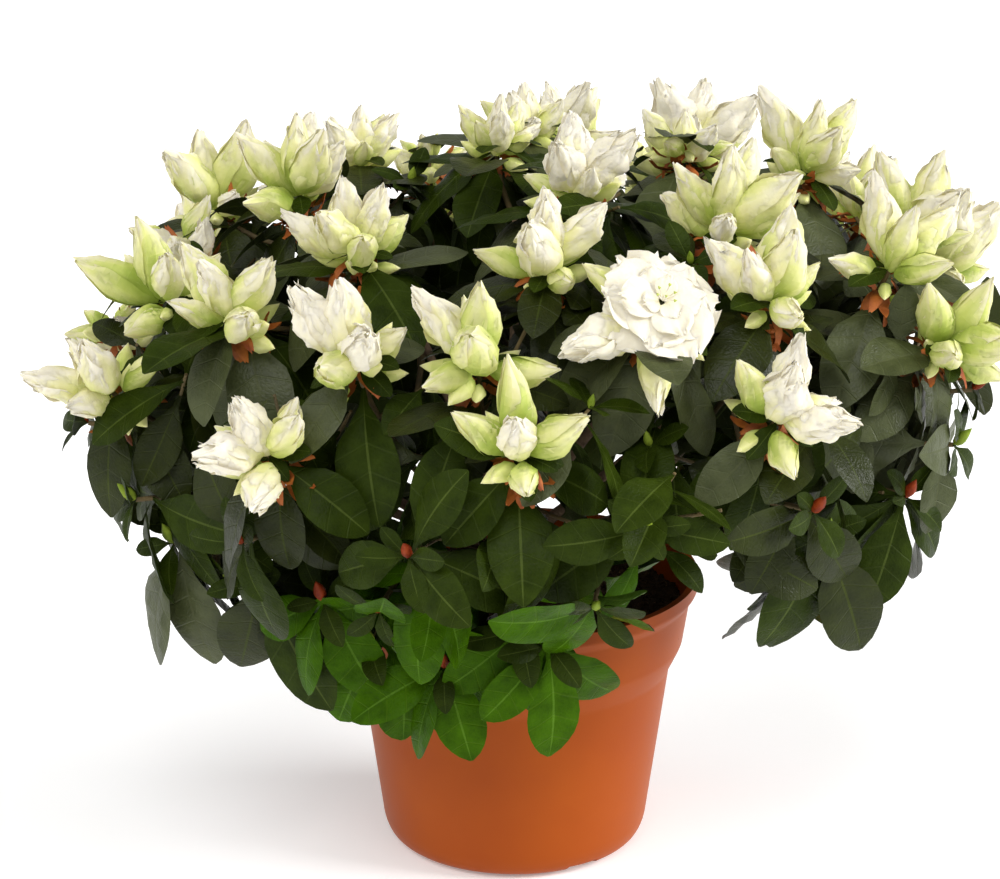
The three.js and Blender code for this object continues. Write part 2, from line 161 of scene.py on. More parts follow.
# %% Colour and node helpers
def linear(hex_colour):
    parts = [int(hex_colour[i : i + 2], 16) / 255 for i in (1, 3, 5)]
    return tuple(c / 12.92 if c <= 0.04045 else ((c + 0.055) / 1.055) ** 2.4 for c in parts) + (1,)


def add_node(tree, kind, settings=None, inputs=None):
    """A node of that kind. An input is a plain value, an output, or a node, which gives its first output."""
    node = tree.nodes.new(kind)
    for name, value in (settings or {}).items():
        setattr(node, name, value)
    for key, value in (inputs or {}).items():
        if isinstance(value, bpy.types.Node):
            value = value.outputs[0]
        if isinstance(value, bpy.types.NodeSocket):
            tree.links.new(value, node.inputs[key])
        else:
            node.inputs[key].default_value = value
    return node


MIX_FACTOR, MIX_A, MIX_B, MIX_RESULT = 0, 6, 7, 2


def mottled_finish(name, colours, patch_mm, rough, grain_mm, grain_depth_mm, **shader):
    """A surface whose colour drifts between two shades in patches, over a fine grain that catches the light.
    Further sockets of the shader are given by name, with _ for a space."""
    material = bpy.data.materials.new(name)
    material.use_nodes = True
    tree = material.node_tree
    place = add_node(tree, "ShaderNodeTexCoord").outputs["Object"]
    patches, grain = (
        add_node(tree, "ShaderNodeTexNoise", inputs={"Vector": place, "Scale": 1 / (mm * MM), "Detail": fine})
        for mm, fine in ((patch_mm, 3), (grain_mm, 2))
    )
    drift = add_node(tree, "ShaderNodeMapRange", inputs={"Value": patches, "From Min": 0.3, "From Max": 0.7})
    colour = add_node(
        tree, "ShaderNodeMix", {"data_type": "RGBA"},
        {MIX_FACTOR: drift, MIX_A: linear(colours[0]), MIX_B: linear(colours[1])},
    )
    gloss = add_node(
        tree, "ShaderNodeMapRange", inputs={"Value": patches, "To Min": rough[0], "To Max": rough[1]}
    )
    relief = add_node(tree, "ShaderNodeBump", inputs={"Height": grain, "Distance": grain_depth_mm * MM})
    skin = tree.nodes["Principled BSDF"]
    tree.links.new(colour.outputs[MIX_RESULT], skin.inputs["Base Color"])
    tree.links.new(gloss.outputs[0], skin.inputs["Roughness"])
    tree.links.new(relief.outputs[0], skin.inputs["Normal"])
    for key, value in shader.items():
        skin.inputs[key.replace("_", " ")].default_value = value
    return material


# White-painted board: a matte pale sheet with a barely visible roller texture. It glows a little, as a light
# table does, so the plant's shadow stays faint.
studio_floor.data.materials.append(
    mottled_finish(
        "painted_studio_board", ("#f6f6f5", "#fafafa"), 90, (0.7, 0.8), 4, 0.05,
        Emission_Color=(1, 1, 1, 1), Emission_Strength=0.22,
    )
)
print("floor finish ready")

# %% [markdown]
# ## The growth rule
# The shrub follows one rule. A short trunk carries boughs in three tiers. Each bough climbs to the middle of
# its own foliage. The shoots' tips lie on a wide dome, tier above tier, and each shoot belongs to the bough
# whose direction is nearest. The numbers are those of the solid frame, in millimetres, so what grows here
# starts from the same limbs and reaches the same dome. A small hash gives each shoot its own repeatable luck.

# %% Sizes of the rule
SEED = 9.4
SOIL_TOP = 90
TRUNK_TOP = 126
TRUNK_LEAN = 3
CROWN_CENTRE = Vector((7, 0, 175))
CROWN_RADII = Vector((156, 146, 78))
CROWN_LEAN = 0.06
FORK = Vector((0, 0, 112))
STAGGER = 5
UP = Vector((0, 0, 1))
GOLDEN_ANGLE = 137.508
FULL_TURN = 6.28
POT_TOP, LIP_RADIUS = 100, 65

BOUGH_TIERS = (
    # count, turn, height on the trunk, slope, reach from the fork
    (8, -11, 102, 25, 98),
    (5, 12, 114, 57, 112),
    (1, 0, 122, 90, 118),
)
TIER_SAYS = ("rise", "count", "turn", "step", "buds", "leaves", "droop")
SHOOT_TIERS = (
    (74, 2, 22, 180, 4, 5, 0.2),
    (57, 8, 3, 45, 4, 5, 0.2),
    (36, 16, 16.5, 22.5, 3, 5, 0.3),
    (13, 11, 0, 360 / 11, 3, 6, 0.4),
    (-10, 14, 13, 360 / 14, 0, 8, 0.5),
    (-36, 11, -24, 360 / 11, 0, 8, 0.7),
    (-53, 2, -31, 26, 0, 9, 0.4),
    (-50, 3, 120, 62, 0, 8, 0.4),
)
SHOOT_TIERS = [dict(zip(TIER_SAYS, row)) for row in SHOOT_TIERS]
BLOOM_TIER = 2
LOW = -28


def chance(a, b=0, c=0):
    s = math.sin(a * 12.9898 + b * 78.233 + c * 37.719 + SEED) * 43758.5453
    return s - math.floor(s)


def spread(width, *keys):
    return width * (chance(*keys) - 0.5)


def lerp(a, b, t):
    return a + (b - a) * t


def along_bend(bend, t):
    """The point at share t of a bend, which is its start, the corner that it rounds, and its end."""
    start, corner, end = bend
    return start * (1 - t) ** 2 + corner * (2 * t * (1 - t)) + end * t**2


def around(axis, tilt, turn):
    """The direction tilted from an axis by an angle, at a turn about it."""
    side = axis.cross(UP)
    side = side.normalized() if side.length_squared > 1e-4 else Vector((1, 0, 0))
    side = Quaternion(axis, math.radians(turn)) @ side
    return axis * math.cos(math.radians(tilt)) + side * math.sin(math.radians(tilt))


# %% Limbs and shoots
TRUNK_BEND = (
    Vector((-TRUNK_LEAN, 0, SOIL_TOP + 0.3)),
    Vector((-TRUNK_LEAN, 0, (SOIL_TOP + TRUNK_TOP) / 2)),
    Vector((0, 0, TRUNK_TOP)),
)


def grow_limbs():
    limbs = []
    for count, first, height, slope, reach in BOUGH_TIERS:
        for i in range(count):
            bearing = first + 360 / count * i
            direction = heading(bearing, slope)
            foot = height + (STAGGER if i % 2 else 0)
            start = along_bend(TRUNK_BEND, (foot - SOIL_TOP) / (TRUNK_TOP - SOIL_TOP))
            out = heading(bearing, lerp(20, 90, (slope / 90) ** 2))
            bend = (start, start + out * (reach * 0.42), FORK + direction * reach)
            limbs.append({"direction": direction, "bend": bend})
    return limbs


def on_dome(bearing, rise, share):
    h = heading(bearing, rise)
    p = Vector([h[k] * CROWN_RADII[k] * share for k in range(3)])
    p.z += CROWN_LEAN * p.x
    return p + CROWN_CENTRE


def dome_share(point):
    """How far out a point is: 0 at the crown's centre, 1 on the dome that the shoots' tips lie on."""
    p = point - CROWN_CENTRE
    p.z -= CROWN_LEAN * p.x
    return Vector([p[k] / CROWN_RADII[k] for k in range(3)]).length


def grow_shoots(limbs):
    shoots = []
    for t, tier in enumerate(SHOOT_TIERS):
        for i in range(tier["count"]):
            key = 100 * t + i
            bearing = tier["turn"] + tier["step"] * i + spread(6, key, 1)
            rise = tier["rise"] + spread(7, key, 2)
            tip = on_dome(bearing, rise, 1 + spread(0.08, key, 3))
            h = heading(bearing, rise)
            axis = Vector([h[k] / CROWN_RADII[k] for k in range(3)]).normalized() + UP * 0.45
            from_fork = (tip - FORK).normalized()
            limb = max(limbs, key=lambda near: near["direction"].dot(from_fork))
            shoots.append(
                {
                    "key": key, "tip": tip, "axis": axis.normalized(), "limb": limb, "tier": tier,
                    "bearing": (bearing + 180) % 360 - 180, "rise": rise, "open": t == BLOOM_TIER and i == 0,
                }
            )
    return shoots


def in_own_space(point, limb, margin):
    """Each limb's foliage keeps to the directions, seen from the fork, that are nearest its own."""
    v = point - FORK
    for other in LIMBS:
        if other is not limb:
            apart = limb["direction"] - other["direction"]
            if apart.dot(v) < margin * apart.length:
                return False
    return True


LIMBS = grow_limbs()
SHOOTS = grow_shoots(LIMBS)
STEM_START = 0.665
for limb in LIMBS:
    own = [s for s in SHOOTS if s["limb"] is limb]
    for n, shoot in enumerate(own):
        start = along_bend(limb["bend"], lerp(STEM_START + 0.05, 0.99, (n + 1) / len(own)))
        corner = shoot["tip"] - shoot["axis"] * (0.4 * (shoot["tip"] - start).length)
        middle = start.lerp(shoot["tip"], 0.5)
        for _ in range(6):
            if in_own_space(corner, limb, 3):
                break
            corner = corner.lerp(middle, 0.35)
        shoot["twig"] = (start, corner, shoot["tip"])
print(len(LIMBS), "limbs carry", len(SHOOTS), "shoots")

# %% [markdown]
# ## Turning lists of points into pieces
# A piece is one mesh in metres whose place is in its vertices. It rides on the plant's only body, and the
# solids that it stands for are hidden.

# %% Piece helpers
def mesh_of(name, points_mm, faces, smooth=True):
    mesh = bpy.data.meshes.new(name)
    mesh.from_pydata((np.asarray(points_mm, float) * MM).tolist(), [], faces)
    mesh.validate()
    mesh.polygons.foreach_set("use_smooth", np.full(len(mesh.polygons), smooth))
    return mesh


def show_piece(name, mesh, stands_for=()):
    piece = add_to_scene(name, mesh)
    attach(piece, "root")
    if stands_for:
        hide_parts(*stands_for)
    print(name, "has", sum(len(p.vertices) - 2 for p in mesh.polygons), "triangles")


def plain_mesh(source, tree, values, name):
    """Runs a Geometry Nodes tree on a mesh or curve and keeps the result as a plain mesh."""
    holder = add_to_scene(name + "_source", source)
    modifier = holder.modifiers.new("grow", "NODES")
    modifier.node_group = tree
    for item in tree.interface.items_tree:
        if item.item_type == "SOCKET" and item.in_out == "INPUT" and item.name in values:
            modifier[item.identifier] = values[item.name]
    evaluated = holder.evaluated_get(bpy.context.evaluated_depsgraph_get())
    mesh = bpy.data.meshes.new_from_object(evaluated)
    mesh.name = name
    holder.modifiers.clear()
    bpy.data.objects.remove(holder)
    return mesh


def new_tree(name, **inputs):
    """An empty Geometry Nodes tree with its inputs, named kind by kind, and the sockets of its two ends."""
    tree = bpy.data.node_groups.new(name, "GeometryNodeTree")
    for way in ("INPUT", "OUTPUT"):
        tree.interface.new_socket("Geometry", in_out=way, socket_type="NodeSocketGeometry")
    for kind, labels in inputs.items():
        for label in labels.split():
            tree.interface.new_socket(label, in_out="INPUT", socket_type="NodeSocket" + kind)
    return tree, add_node(tree, "NodeGroupInput").outputs, add_node(tree, "NodeGroupOutput").inputs


def end_tree(tree, geometry, finish, result):
    """The last two steps of every tree: real geometry, then a finish."""
    single = add_node(tree, "GeometryNodeRealizeInstances", inputs={"Geometry": geometry})
    dressed = add_node(tree, "GeometryNodeSetMaterial", inputs={"Geometry": single, "Material": finish})
    tree.links.new(dressed.outputs[0], result[0])


def higher_than(tree, level):
    """Picks what lies above a level: the top of the peat, and not its side."""
    place = add_node(tree, "GeometryNodeInputPosition")
    height = add_node(tree, "ShaderNodeSeparateXYZ", inputs={0: place}).outputs["Z"]
    return add_node(tree, "FunctionNodeCompare", {"operation": "GREATER_THAN"}, {0: height, 1: level})


def noisy_height(tree, lump, relief, detail):
    """A distance up to half the relief either way, from noise whose lumps have that size."""
    place = add_node(tree, "GeometryNodeInputPosition")
    per_metre = add_node(tree, "ShaderNodeMath", {"operation": "DIVIDE"}, {0: 1.0, 1: lump})
    lumps = add_node(
        tree, "ShaderNodeTexNoise", inputs={"Vector": place, "Scale": per_metre, "Detail": detail}
    )
    centred = add_node(tree, "ShaderNodeMath", {"operation": "SUBTRACT"}, {0: lumps, 1: 0.5})
    return add_node(tree, "ShaderNodeMath", {"operation": "MULTIPLY"}, {0: centred, 1: relief})


FOLIAGE_NODES = sorted(n for n in frame["nodes"] if n.startswith("foliage"))
BOUGH_NODES = sorted(n for n in frame["nodes"] if n.startswith("bough"))
print("foliage nodes:", len(FOLIAGE_NODES), "bough nodes:", len(BOUGH_NODES))

# %% [markdown]
# ## The pot
# The real pot is injection moulded from polypropylene: a thin wall, a rounded foot with drain notches, a
# collar that is wider than the body so that pots stack, and a thick lip. A turned shape is a profile swept
# round an axis, so one list of corners from the foot up the outside and down the inside makes the whole
# shell. Each corner is rounded by a short arc, because a sharp edge never catches the light as plastic does.

# %% Pot profile and shell
POT_OUTSIDE = [
    (0, 0, 0), (39, 0, 2), (44.6, 2.2, 4), (46.98, 7, 3), (55.2, 66, 1.2), (58.1, 72, 1.2), (59.7, 75.5, 1.2),
    (62.3, 92, 1), (65, 95.5, 1), (65, 100, 1.1),
]
POT_INSIDE = [
    (62.6, 100, 0.8), (61, 93, 1.5), (58.2, 76, 1), (56.6, 72.6, 1), (53.7, 66.6, 1), (45.2, 4.5, 2),
    (0, 4.5, 0),
]
POT_SIDES = 144


def rounded(corners, steps=4):
    """The profile with each corner replaced by a short arc of about its given radius."""
    path = []
    for i, (r, z, radius) in enumerate(corners):
        here = Vector((r, z))
        if not radius or i in (0, len(corners) - 1):
            path.append(tuple(here))
            continue
        before, after = (Vector(corners[i + d][:2]) - here for d in (-1, 1))
        a = here + before.normalized() * min(radius, before.length * 0.45)
        b = here + after.normalized() * min(radius, after.length * 0.45)
        for k in range(steps + 1):
            t = k / steps
            path.append(tuple(a * (1 - t) ** 2 + here * (2 * t * (1 - t)) + b * t**2))
    return path


def turned(profile, sides):
    """A profile that starts and ends on the axis, swept round it as one closed shell."""
    inner = profile[1:-1]
    turn = np.linspace(0, 2 * math.pi, sides, endpoint=False)
    points = [(r * math.sin(a), -r * math.cos(a), z) for r, z in inner for a in turn]
    first, last = len(points), len(points) + 1
    points += [(0, 0, profile[0][1]), (0, 0, profile[-1][1])]
    faces = []
    for i in range(sides):
        j = (i + 1) % sides
        faces.append((first, j, i))
        for k in range(len(inner) - 1):
            faces.append((k * sides + i, k * sides + j, (k + 1) * sides + j, (k + 1) * sides + i))
        top = (len(inner) - 1) * sides
        faces.append((last, top + i, top + j))
    return points, faces


pot_points, pot_faces = turned(rounded(POT_OUTSIDE) + rounded(POT_INSIDE), POT_SIDES)
pot_mesh = mesh_of("pot_shell", pot_points, pot_faces)
print("pot shell:", len(pot_faces), "faces, wall 1.5 mm")

# %% [markdown]
# The three drain notches are cut with a Boolean, as a mill would cut the mould: a block wider than the
# notch's height, set into the edge of the foot. The cut stays in the thick floor, so the pot stays tight.

# %% Cut the drain notches
NOTCH_TURNS = (33, 153, 273)
NOTCH_WIDTH, NOTCH_HEIGHT, NOTCH_INNER_RADIUS = 14, 3.5, 36


def notch_cutter():
    points, faces = [], []
    for turn in NOTCH_TURNS:
        across, out, base = heading(turn + 90, 0), heading(turn, 0), len(points)
        for z, half in ((-4, NOTCH_WIDTH / 2 + 1), (NOTCH_HEIGHT, NOTCH_WIDTH / 2 - 0.8)):
            for r, s in ((NOTCH_INNER_RADIUS, -1), (NOTCH_INNER_RADIUS, 1), (60, 1), (60, -1)):
                points.append(out * r + across * (s * half) + UP * z)
        quads = ((0, 1, 2, 3), (7, 6, 5, 4), (0, 4, 5, 1), (1, 5, 6, 2), (2, 6, 7, 3), (3, 7, 4, 0))
        faces += [tuple(base + i for i in q) for q in quads]
    return mesh_of("notch_cutter", points, faces, smooth=False)


def cut(mesh, cutter_mesh):
    target, cutter = add_to_scene("cut_target", mesh), add_to_scene("cut_tool", cutter_mesh)
    knife = target.modifiers.new("cut", "BOOLEAN")
    knife.object, knife.operation, knife.solver = cutter, "DIFFERENCE", "EXACT"
    evaluated = target.evaluated_get(bpy.context.evaluated_depsgraph_get())
    result = bpy.data.meshes.new_from_object(evaluated)
    for o in (target, cutter):
        bpy.data.objects.remove(o)
    return result


pot_mesh = cut(pot_mesh, notch_cutter())
pot_mesh.set_sharp_from_angle(angle=math.radians(42))
pot_mesh.name = "pot_shell"

# Injection-moulded polypropylene in terracotta orange: satin rather than glossy, with the faint cloudiness of
# recycled stock and a very fine spark-eroded grain from the mould.
pot_plastic = mottled_finish(
    "moulded_terracotta_polypropylene", ("#934009", "#9b470b"), 38, (0.38, 0.48), 0.5, 0.02,
    IOR=1.49, Specular_IOR_Level=0.12,
)
pot_mesh.materials.clear()
pot_mesh.materials.append(pot_plastic)
show_piece("pot_shell", pot_mesh, ["pot"])

# %% [markdown]
# ## The peat
# The root ball is a plug of dark peat. Its top is uneven and crumbly, with paler fibres. The plug is turned
# like the pot, and noise in a Geometry Nodes tree pushes its top up and down. A second tree scatters crumbs
# and fibres over it, because loose grains can't come from a height map.

# %% Peat plug
PEAT_PROFILE = [(0, 4.8), (44.9, 4.8), (53.3, 66.8), (56.2, 73), (57.9, 76), (59.6, 87.4)]
PEAT_PROFILE += [(r, 88.2 + 1.2 * (1 - r / 59)) for r in np.arange(58.5, 1, -1.5)] + [(0, 89.4)]

peat_tree, given, result = new_tree("uneven_peat", Float="Relief Lump Level", Material="Finish")
lift = noisy_height(peat_tree, given["Lump"], given["Relief"], 5.0)
push = add_node(peat_tree, "ShaderNodeCombineXYZ", inputs={"Z": lift})
top_only = higher_than(peat_tree, given["Level"])
moved = add_node(
    peat_tree, "GeometryNodeSetPosition",
    inputs={"Geometry": given["Geometry"], "Selection": top_only, "Offset": push},
)
end_tree(peat_tree, moved, given["Finish"], result)

# Damp milled peat: nearly black-brown, dull, with lighter half-rotted fibres between the grains.
peat_finish = mottled_finish(
    "damp_milled_peat", ("#241a12", "#4a3826"), 2.2, (0.85, 0.97), 0.7, 0.5, Specular_IOR_Level=0.2
)
peat_points, peat_faces = turned(PEAT_PROFILE, 120)
peat_mesh = plain_mesh(
    mesh_of("peat_plug", peat_points, peat_faces), peat_tree,
    {"Relief": 5 * MM, "Lump": 9 * MM, "Level": 87 * MM, "Finish": peat_finish}, "peat",
)
show_piece("peat", peat_mesh, ["root_ball"])

# %% Loose crumbs on the peat
def lump_shape(key, length, width):
    """A closed rough grain of twenty faces."""
    gold = (1 + 5**0.5) / 2
    corners = [(a, b * gold, 0) for a in (-1, 1) for b in (-1, 1)]
    corners += [(0, a, b) for a, b, _ in corners] + [(b, 0, a) for a, b, _ in corners]
    corners = [Vector(p) for p in corners]
    hull = [p.normalized() * (0.75 + 0.5 * chance(key, i)) for i, p in enumerate(corners)]
    points = [(p.x * length / 2, p.y * width / 2, p.z * width / 2) for p in hull]
    faces = []
    for trio in combinations(range(12), 3):
        a, b, c = (corners[n] for n in trio)
        if max((a - b).length, (b - c).length, (a - c).length) < 2.01:
            i, j, k = trio
            faces.append((i, j, k) if (b - a).cross(c - a).dot(a) > 0 else (i, k, j))
    return points, faces


def shape_collection(name, shapes):
    """Shapes to be planted by a tree. They are kept out of the scene, in a collection of their own."""
    collection = bpy.data.collections.new(name)
    for i, mesh in enumerate(shapes):
        collection.objects.link(bpy.data.objects.new(f"{name}_{i:02d}", mesh))
    return collection


crumb_tree, given, result = new_tree(
    "scattered_crumbs", Collection="Shapes", Int="Seed", Float="Density Level Smallest", Material="Finish"
)
top_only = higher_than(crumb_tree, given["Level"])
spots = add_node(
    crumb_tree, "GeometryNodeDistributePointsOnFaces",
    inputs={
        "Mesh": given["Geometry"], "Selection": top_only, "Density": given["Density"], "Seed": given["Seed"]
    },
)
shapes = add_node(crumb_tree, "GeometryNodeCollectionInfo", inputs={0: given["Shapes"], 1: True, 2: True})
turn = add_node(
    crumb_tree, "FunctionNodeRandomValue", {"data_type": "FLOAT_VECTOR"},
    {0: (0, 0, 0), 1: (6.3, 6.3, 6.3), "Seed": given["Seed"]},
)
size = add_node(
    crumb_tree, "FunctionNodeRandomValue", {"data_type": "FLOAT"},
    {2: given["Smallest"], 3: 1.0, "Seed": given["Seed"]},
)
planted = add_node(
    crumb_tree, "GeometryNodeInstanceOnPoints",
    inputs={
        "Points": spots, "Instance": shapes, "Pick Instance": True, "Rotation": turn,
        "Scale": size.outputs[1],
    },
)
end_tree(crumb_tree, planted, given["Finish"], result)

# Peat fibre: bits of sphagnum stem, straw-brown and dry on top.
fibre_finish = mottled_finish("dry_peat_fibre", ("#5a432b", "#7d6340"), 1.5, (0.8, 0.95), 0.5, 0.2)
for name, label, first, kinds, length, width, density, finish in (
    ("peat_crumbs", "crumb", 0, 5, 3.4, 2.4, 110000, peat_finish),
    ("peat_fibres", "fibre", 20, 4, 5.5, 0.8, 26000, fibre_finish),
):
    grains = [
        mesh_of(f"{label}_{i}", *lump_shape(first + i, length, width), smooth=False) for i in range(kinds)
    ]
    scattered = {
        "Shapes": shape_collection(label, grains), "Density": density, "Seed": 3, "Level": 86 * MM,
        "Smallest": 0.35, "Finish": finish,
    }
    show_piece(name, plain_mesh(peat_mesh.copy(), crumb_tree, scattered, name))

# %% [markdown]
# ## Trunk, boughs and twigs
# An azalea's stems are thin and wiry: a short grey-brown trunk, boughs that leave it low down, and twigs that
# stay brown-green for a year or two. Each is drawn as a curve with a radius at every point. One tree sweeps a
# ring along the curves and pushes the skin in and out with noise, so the bark has shallow pits and furrows.
# A sweep follows every bend, and a relief that is in the mesh shows on the outline as well.

# %% Bark tree
bark_tree, given, result = new_tree(
    "barked_limb", Float="Step Relief Furrow", Int="Sides", Material="Finish"
)
even = add_node(
    bark_tree, "GeometryNodeResampleCurve", {"mode": "LENGTH"},
    {"Curve": given["Geometry"], "Length": given["Step"]},
)
ring = add_node(
    bark_tree, "GeometryNodeCurvePrimitiveCircle", inputs={"Resolution": given["Sides"], "Radius": 1.0}
)
width = add_node(bark_tree, "GeometryNodeInputRadius")
tube = add_node(
    bark_tree, "GeometryNodeCurveToMesh",
    inputs={"Curve": even, "Profile Curve": ring, "Scale": width, "Fill Caps": True},
)
outward = add_node(bark_tree, "GeometryNodeInputNormal")
depth = noisy_height(bark_tree, given["Furrow"], given["Relief"], 4.0)
push = add_node(bark_tree, "ShaderNodeVectorMath", {"operation": "SCALE"}, {0: outward, "Scale": depth})
rough = add_node(bark_tree, "GeometryNodeSetPosition", inputs={"Geometry": tube, "Offset": push})
smooth = add_node(bark_tree, "GeometryNodeSetShadeSmooth", inputs={0: rough, "Shade Smooth": True})
end_tree(bark_tree, smooth, given["Finish"], result)


def strand_of(bend, steps, radius_at):
    """The stem along a bend, as a list of (point, radius), both in mm."""
    return [(along_bend(bend, i / steps), radius_at(i / steps)) for i in range(steps + 1)]


def show_stems(name, strands, step, sides, relief, furrow, finish, stands_for=()):
    """Sweeps bark along the strands. Step, relief and the furrows' width are in mm."""
    curve = bpy.data.curves.new(name + "_lines", "CURVE")
    curve.dimensions = "3D"
    for strand in strands:
        spline = curve.splines.new("POLY")
        spline.points.add(len(strand) - 1)
        for point, (place_mm, radius) in zip(spline.points, strand):
            point.co = (*(place_mm * MM), 1)
            point.radius = radius * MM
    sizes = {"Step": step * MM, "Sides": sides, "Relief": relief * MM, "Furrow": furrow * MM}
    sizes["Finish"] = finish
    show_piece(name, plain_mesh(curve, bark_tree, sizes, name), stands_for)


# %% Trunk and boughs
# Old azalea bark: thin, grey-brown and flaking in small plates, with warmer brown where it has split.
bark_finish = mottled_finish(
    "thin_flaking_bark", ("#4a3a2c", "#7a6650"), 3.5, (0.8, 0.95), 1.0, 0.35, Specular_IOR_Level=0.25
)

def trunk_radius(t):
    return (lerp(6.4, 5.2, t) + 2.6 * (1 - t) ** 8) * (1 if t < 0.96 else 0.8)


trunk_strand = [(TRUNK_BEND[0] - UP * 3, 10.5), *strand_of(TRUNK_BEND, 24, trunk_radius)]
show_stems("trunk_bark", [trunk_strand], 1.2, 28, 1.6, 3.2, bark_finish, ["trunk"])

bough_strands = [
    strand_of(limb["bend"], 20, lambda t: lerp(2.4, 1.1, t) + 0.9 * (1 - t) ** 10) for limb in LIMBS
]
show_stems("bough_bark", bough_strands, 1.8, 12, 0.7, 2.2, bark_finish, BOUGH_NODES)

# %% [markdown]
# Finer twigs carry the rule on. Every shoot forks below its tip into side shoots, which stay a little inside
# the dome, so the crown fills out with leaves that are seen between the flower trusses.

# %% Twigs and side shoots
SIDE_FROM = (0.5, 0.68, 0.84)
SIDE_LENGTH, SIDE_TILT, SIDE_LIMIT = 30, 62, 0.96
HANGING_FROM, HANGING_ARCH, HANGING_TIER = 0.62, 5, 5
FIRST_HANGING_KEY = 900


def clear_of_pot(point):
    outside = math.hypot(point.x, point.y) > LIP_RADIUS + 3 + max(0, point.z - SOIL_TOP) * 0.2
    return outside or point.z > POT_TOP + 4


def side_shoots(shoot):
    found = []
    for n, share in enumerate(SIDE_FROM):
        start = along_bend(shoot["twig"], share)
        for attempt in range(4):
            turn = 360 * chance(shoot["key"], n, 20) + 90 * attempt
            toward = around(shoot["axis"], SIDE_TILT - 6 * attempt, turn)
            length = SIDE_LENGTH * (0.75 + 0.5 * chance(shoot["key"], n, 21))
            tip = start + toward * length
            if dome_share(tip) < SIDE_LIMIT and clear_of_pot(tip) and clear_of_pot(start):
                axis = (toward + UP * 0.5).normalized()
                corner = start.lerp(tip, 0.5) - axis * 3
                key = shoot["key"] + 0.1 * (n + 1)
                found.append({"key": key, "tip": tip, "axis": axis, "twig": (start, corner, tip)})
                break
    return found


def hanging_spray(number, bearing, rise, share):
    """A low spray that grows from the twig of the nearest low shoot and hangs over the pot's edge."""
    tip = on_dome(bearing, rise, share)
    low_shoots = [shoot for shoot in SHOOTS if shoot["rise"] < LOW]
    carrier = min(low_shoots, key=lambda shoot: (shoot["tip"] - tip).length)
    start = along_bend(carrier["twig"], HANGING_FROM)
    corner = start.lerp(tip, 0.5) + UP * HANGING_ARCH
    return {
        "key": FIRST_HANGING_KEY + number, "tip": tip, "limb": carrier["limb"], "bearing": bearing,
        "rise": rise, "tier": SHOOT_TIERS[HANGING_TIER], "open": False, "sides": [],
        "twig": (start, corner, tip),
    }


HANGING = (
    # bearing, rise, and how far out on the dome
    (-50, -37, 0.97), (-37, -39, 0.97), (-64, -28, 0.99), (43, -25, 0.97), (62, -25, 0.99), (-18, -56, 1.14),
    (-33, -53, 1.08), (2, -52, 1.06),
)
for shoot in SHOOTS:
    shoot["sides"] = side_shoots(shoot)
SHOOTS += [hanging_spray(n, *where) for n, where in enumerate(HANGING)]
twig_strands = []
for shoot in SHOOTS:
    twig_strands.append(strand_of(shoot["twig"], 12, lambda t: lerp(1.15, 0.85, t)))
    twig_strands += [strand_of(side["twig"], 12, lambda t: lerp(0.8, 0.6, t)) for side in shoot["sides"]]

# Two-year-old wood: olive-brown under short rusty hairs, so it looks dull and a little warm.
twig_finish = mottled_finish("hairy_young_wood", ("#4d4226", "#6c5a34"), 5, (0.65, 0.85), 0.6, 0.15)
show_stems("twigs", twig_strands, 4, 6, 0.3, 2, twig_finish)
print(len(twig_strands), "twigs")

# %% [markdown]
# ## Leaves
# An azalea leaf is an ellipse that is widest past its middle, 30 to 50 mm long, on a stalk of 4 mm. It arches
# over, its margin turns down, and the side veins are sunken, so the blade looks quilted. The veins run
# forward from the midrib, so the rows of the mesh are laid as chevrons along them: every second row is a vein
# and the row between is the crest of a quilt. Ten rows give that with about fifty faces, few enough to repeat
# for every leaf. The midrib is a narrow strip of faces of its own, which later takes a paler finish.

# %% Leaf shapes
LEAF_LENGTH, LEAF_WIDTH = 45, 19.5
LEAF_KINDS, LEAF_ROWS = 8, 10
LEAF_COLUMNS = (-1, -0.55, -0.04, 0.04, 0.55, 1)
RIB_COLUMN = 2


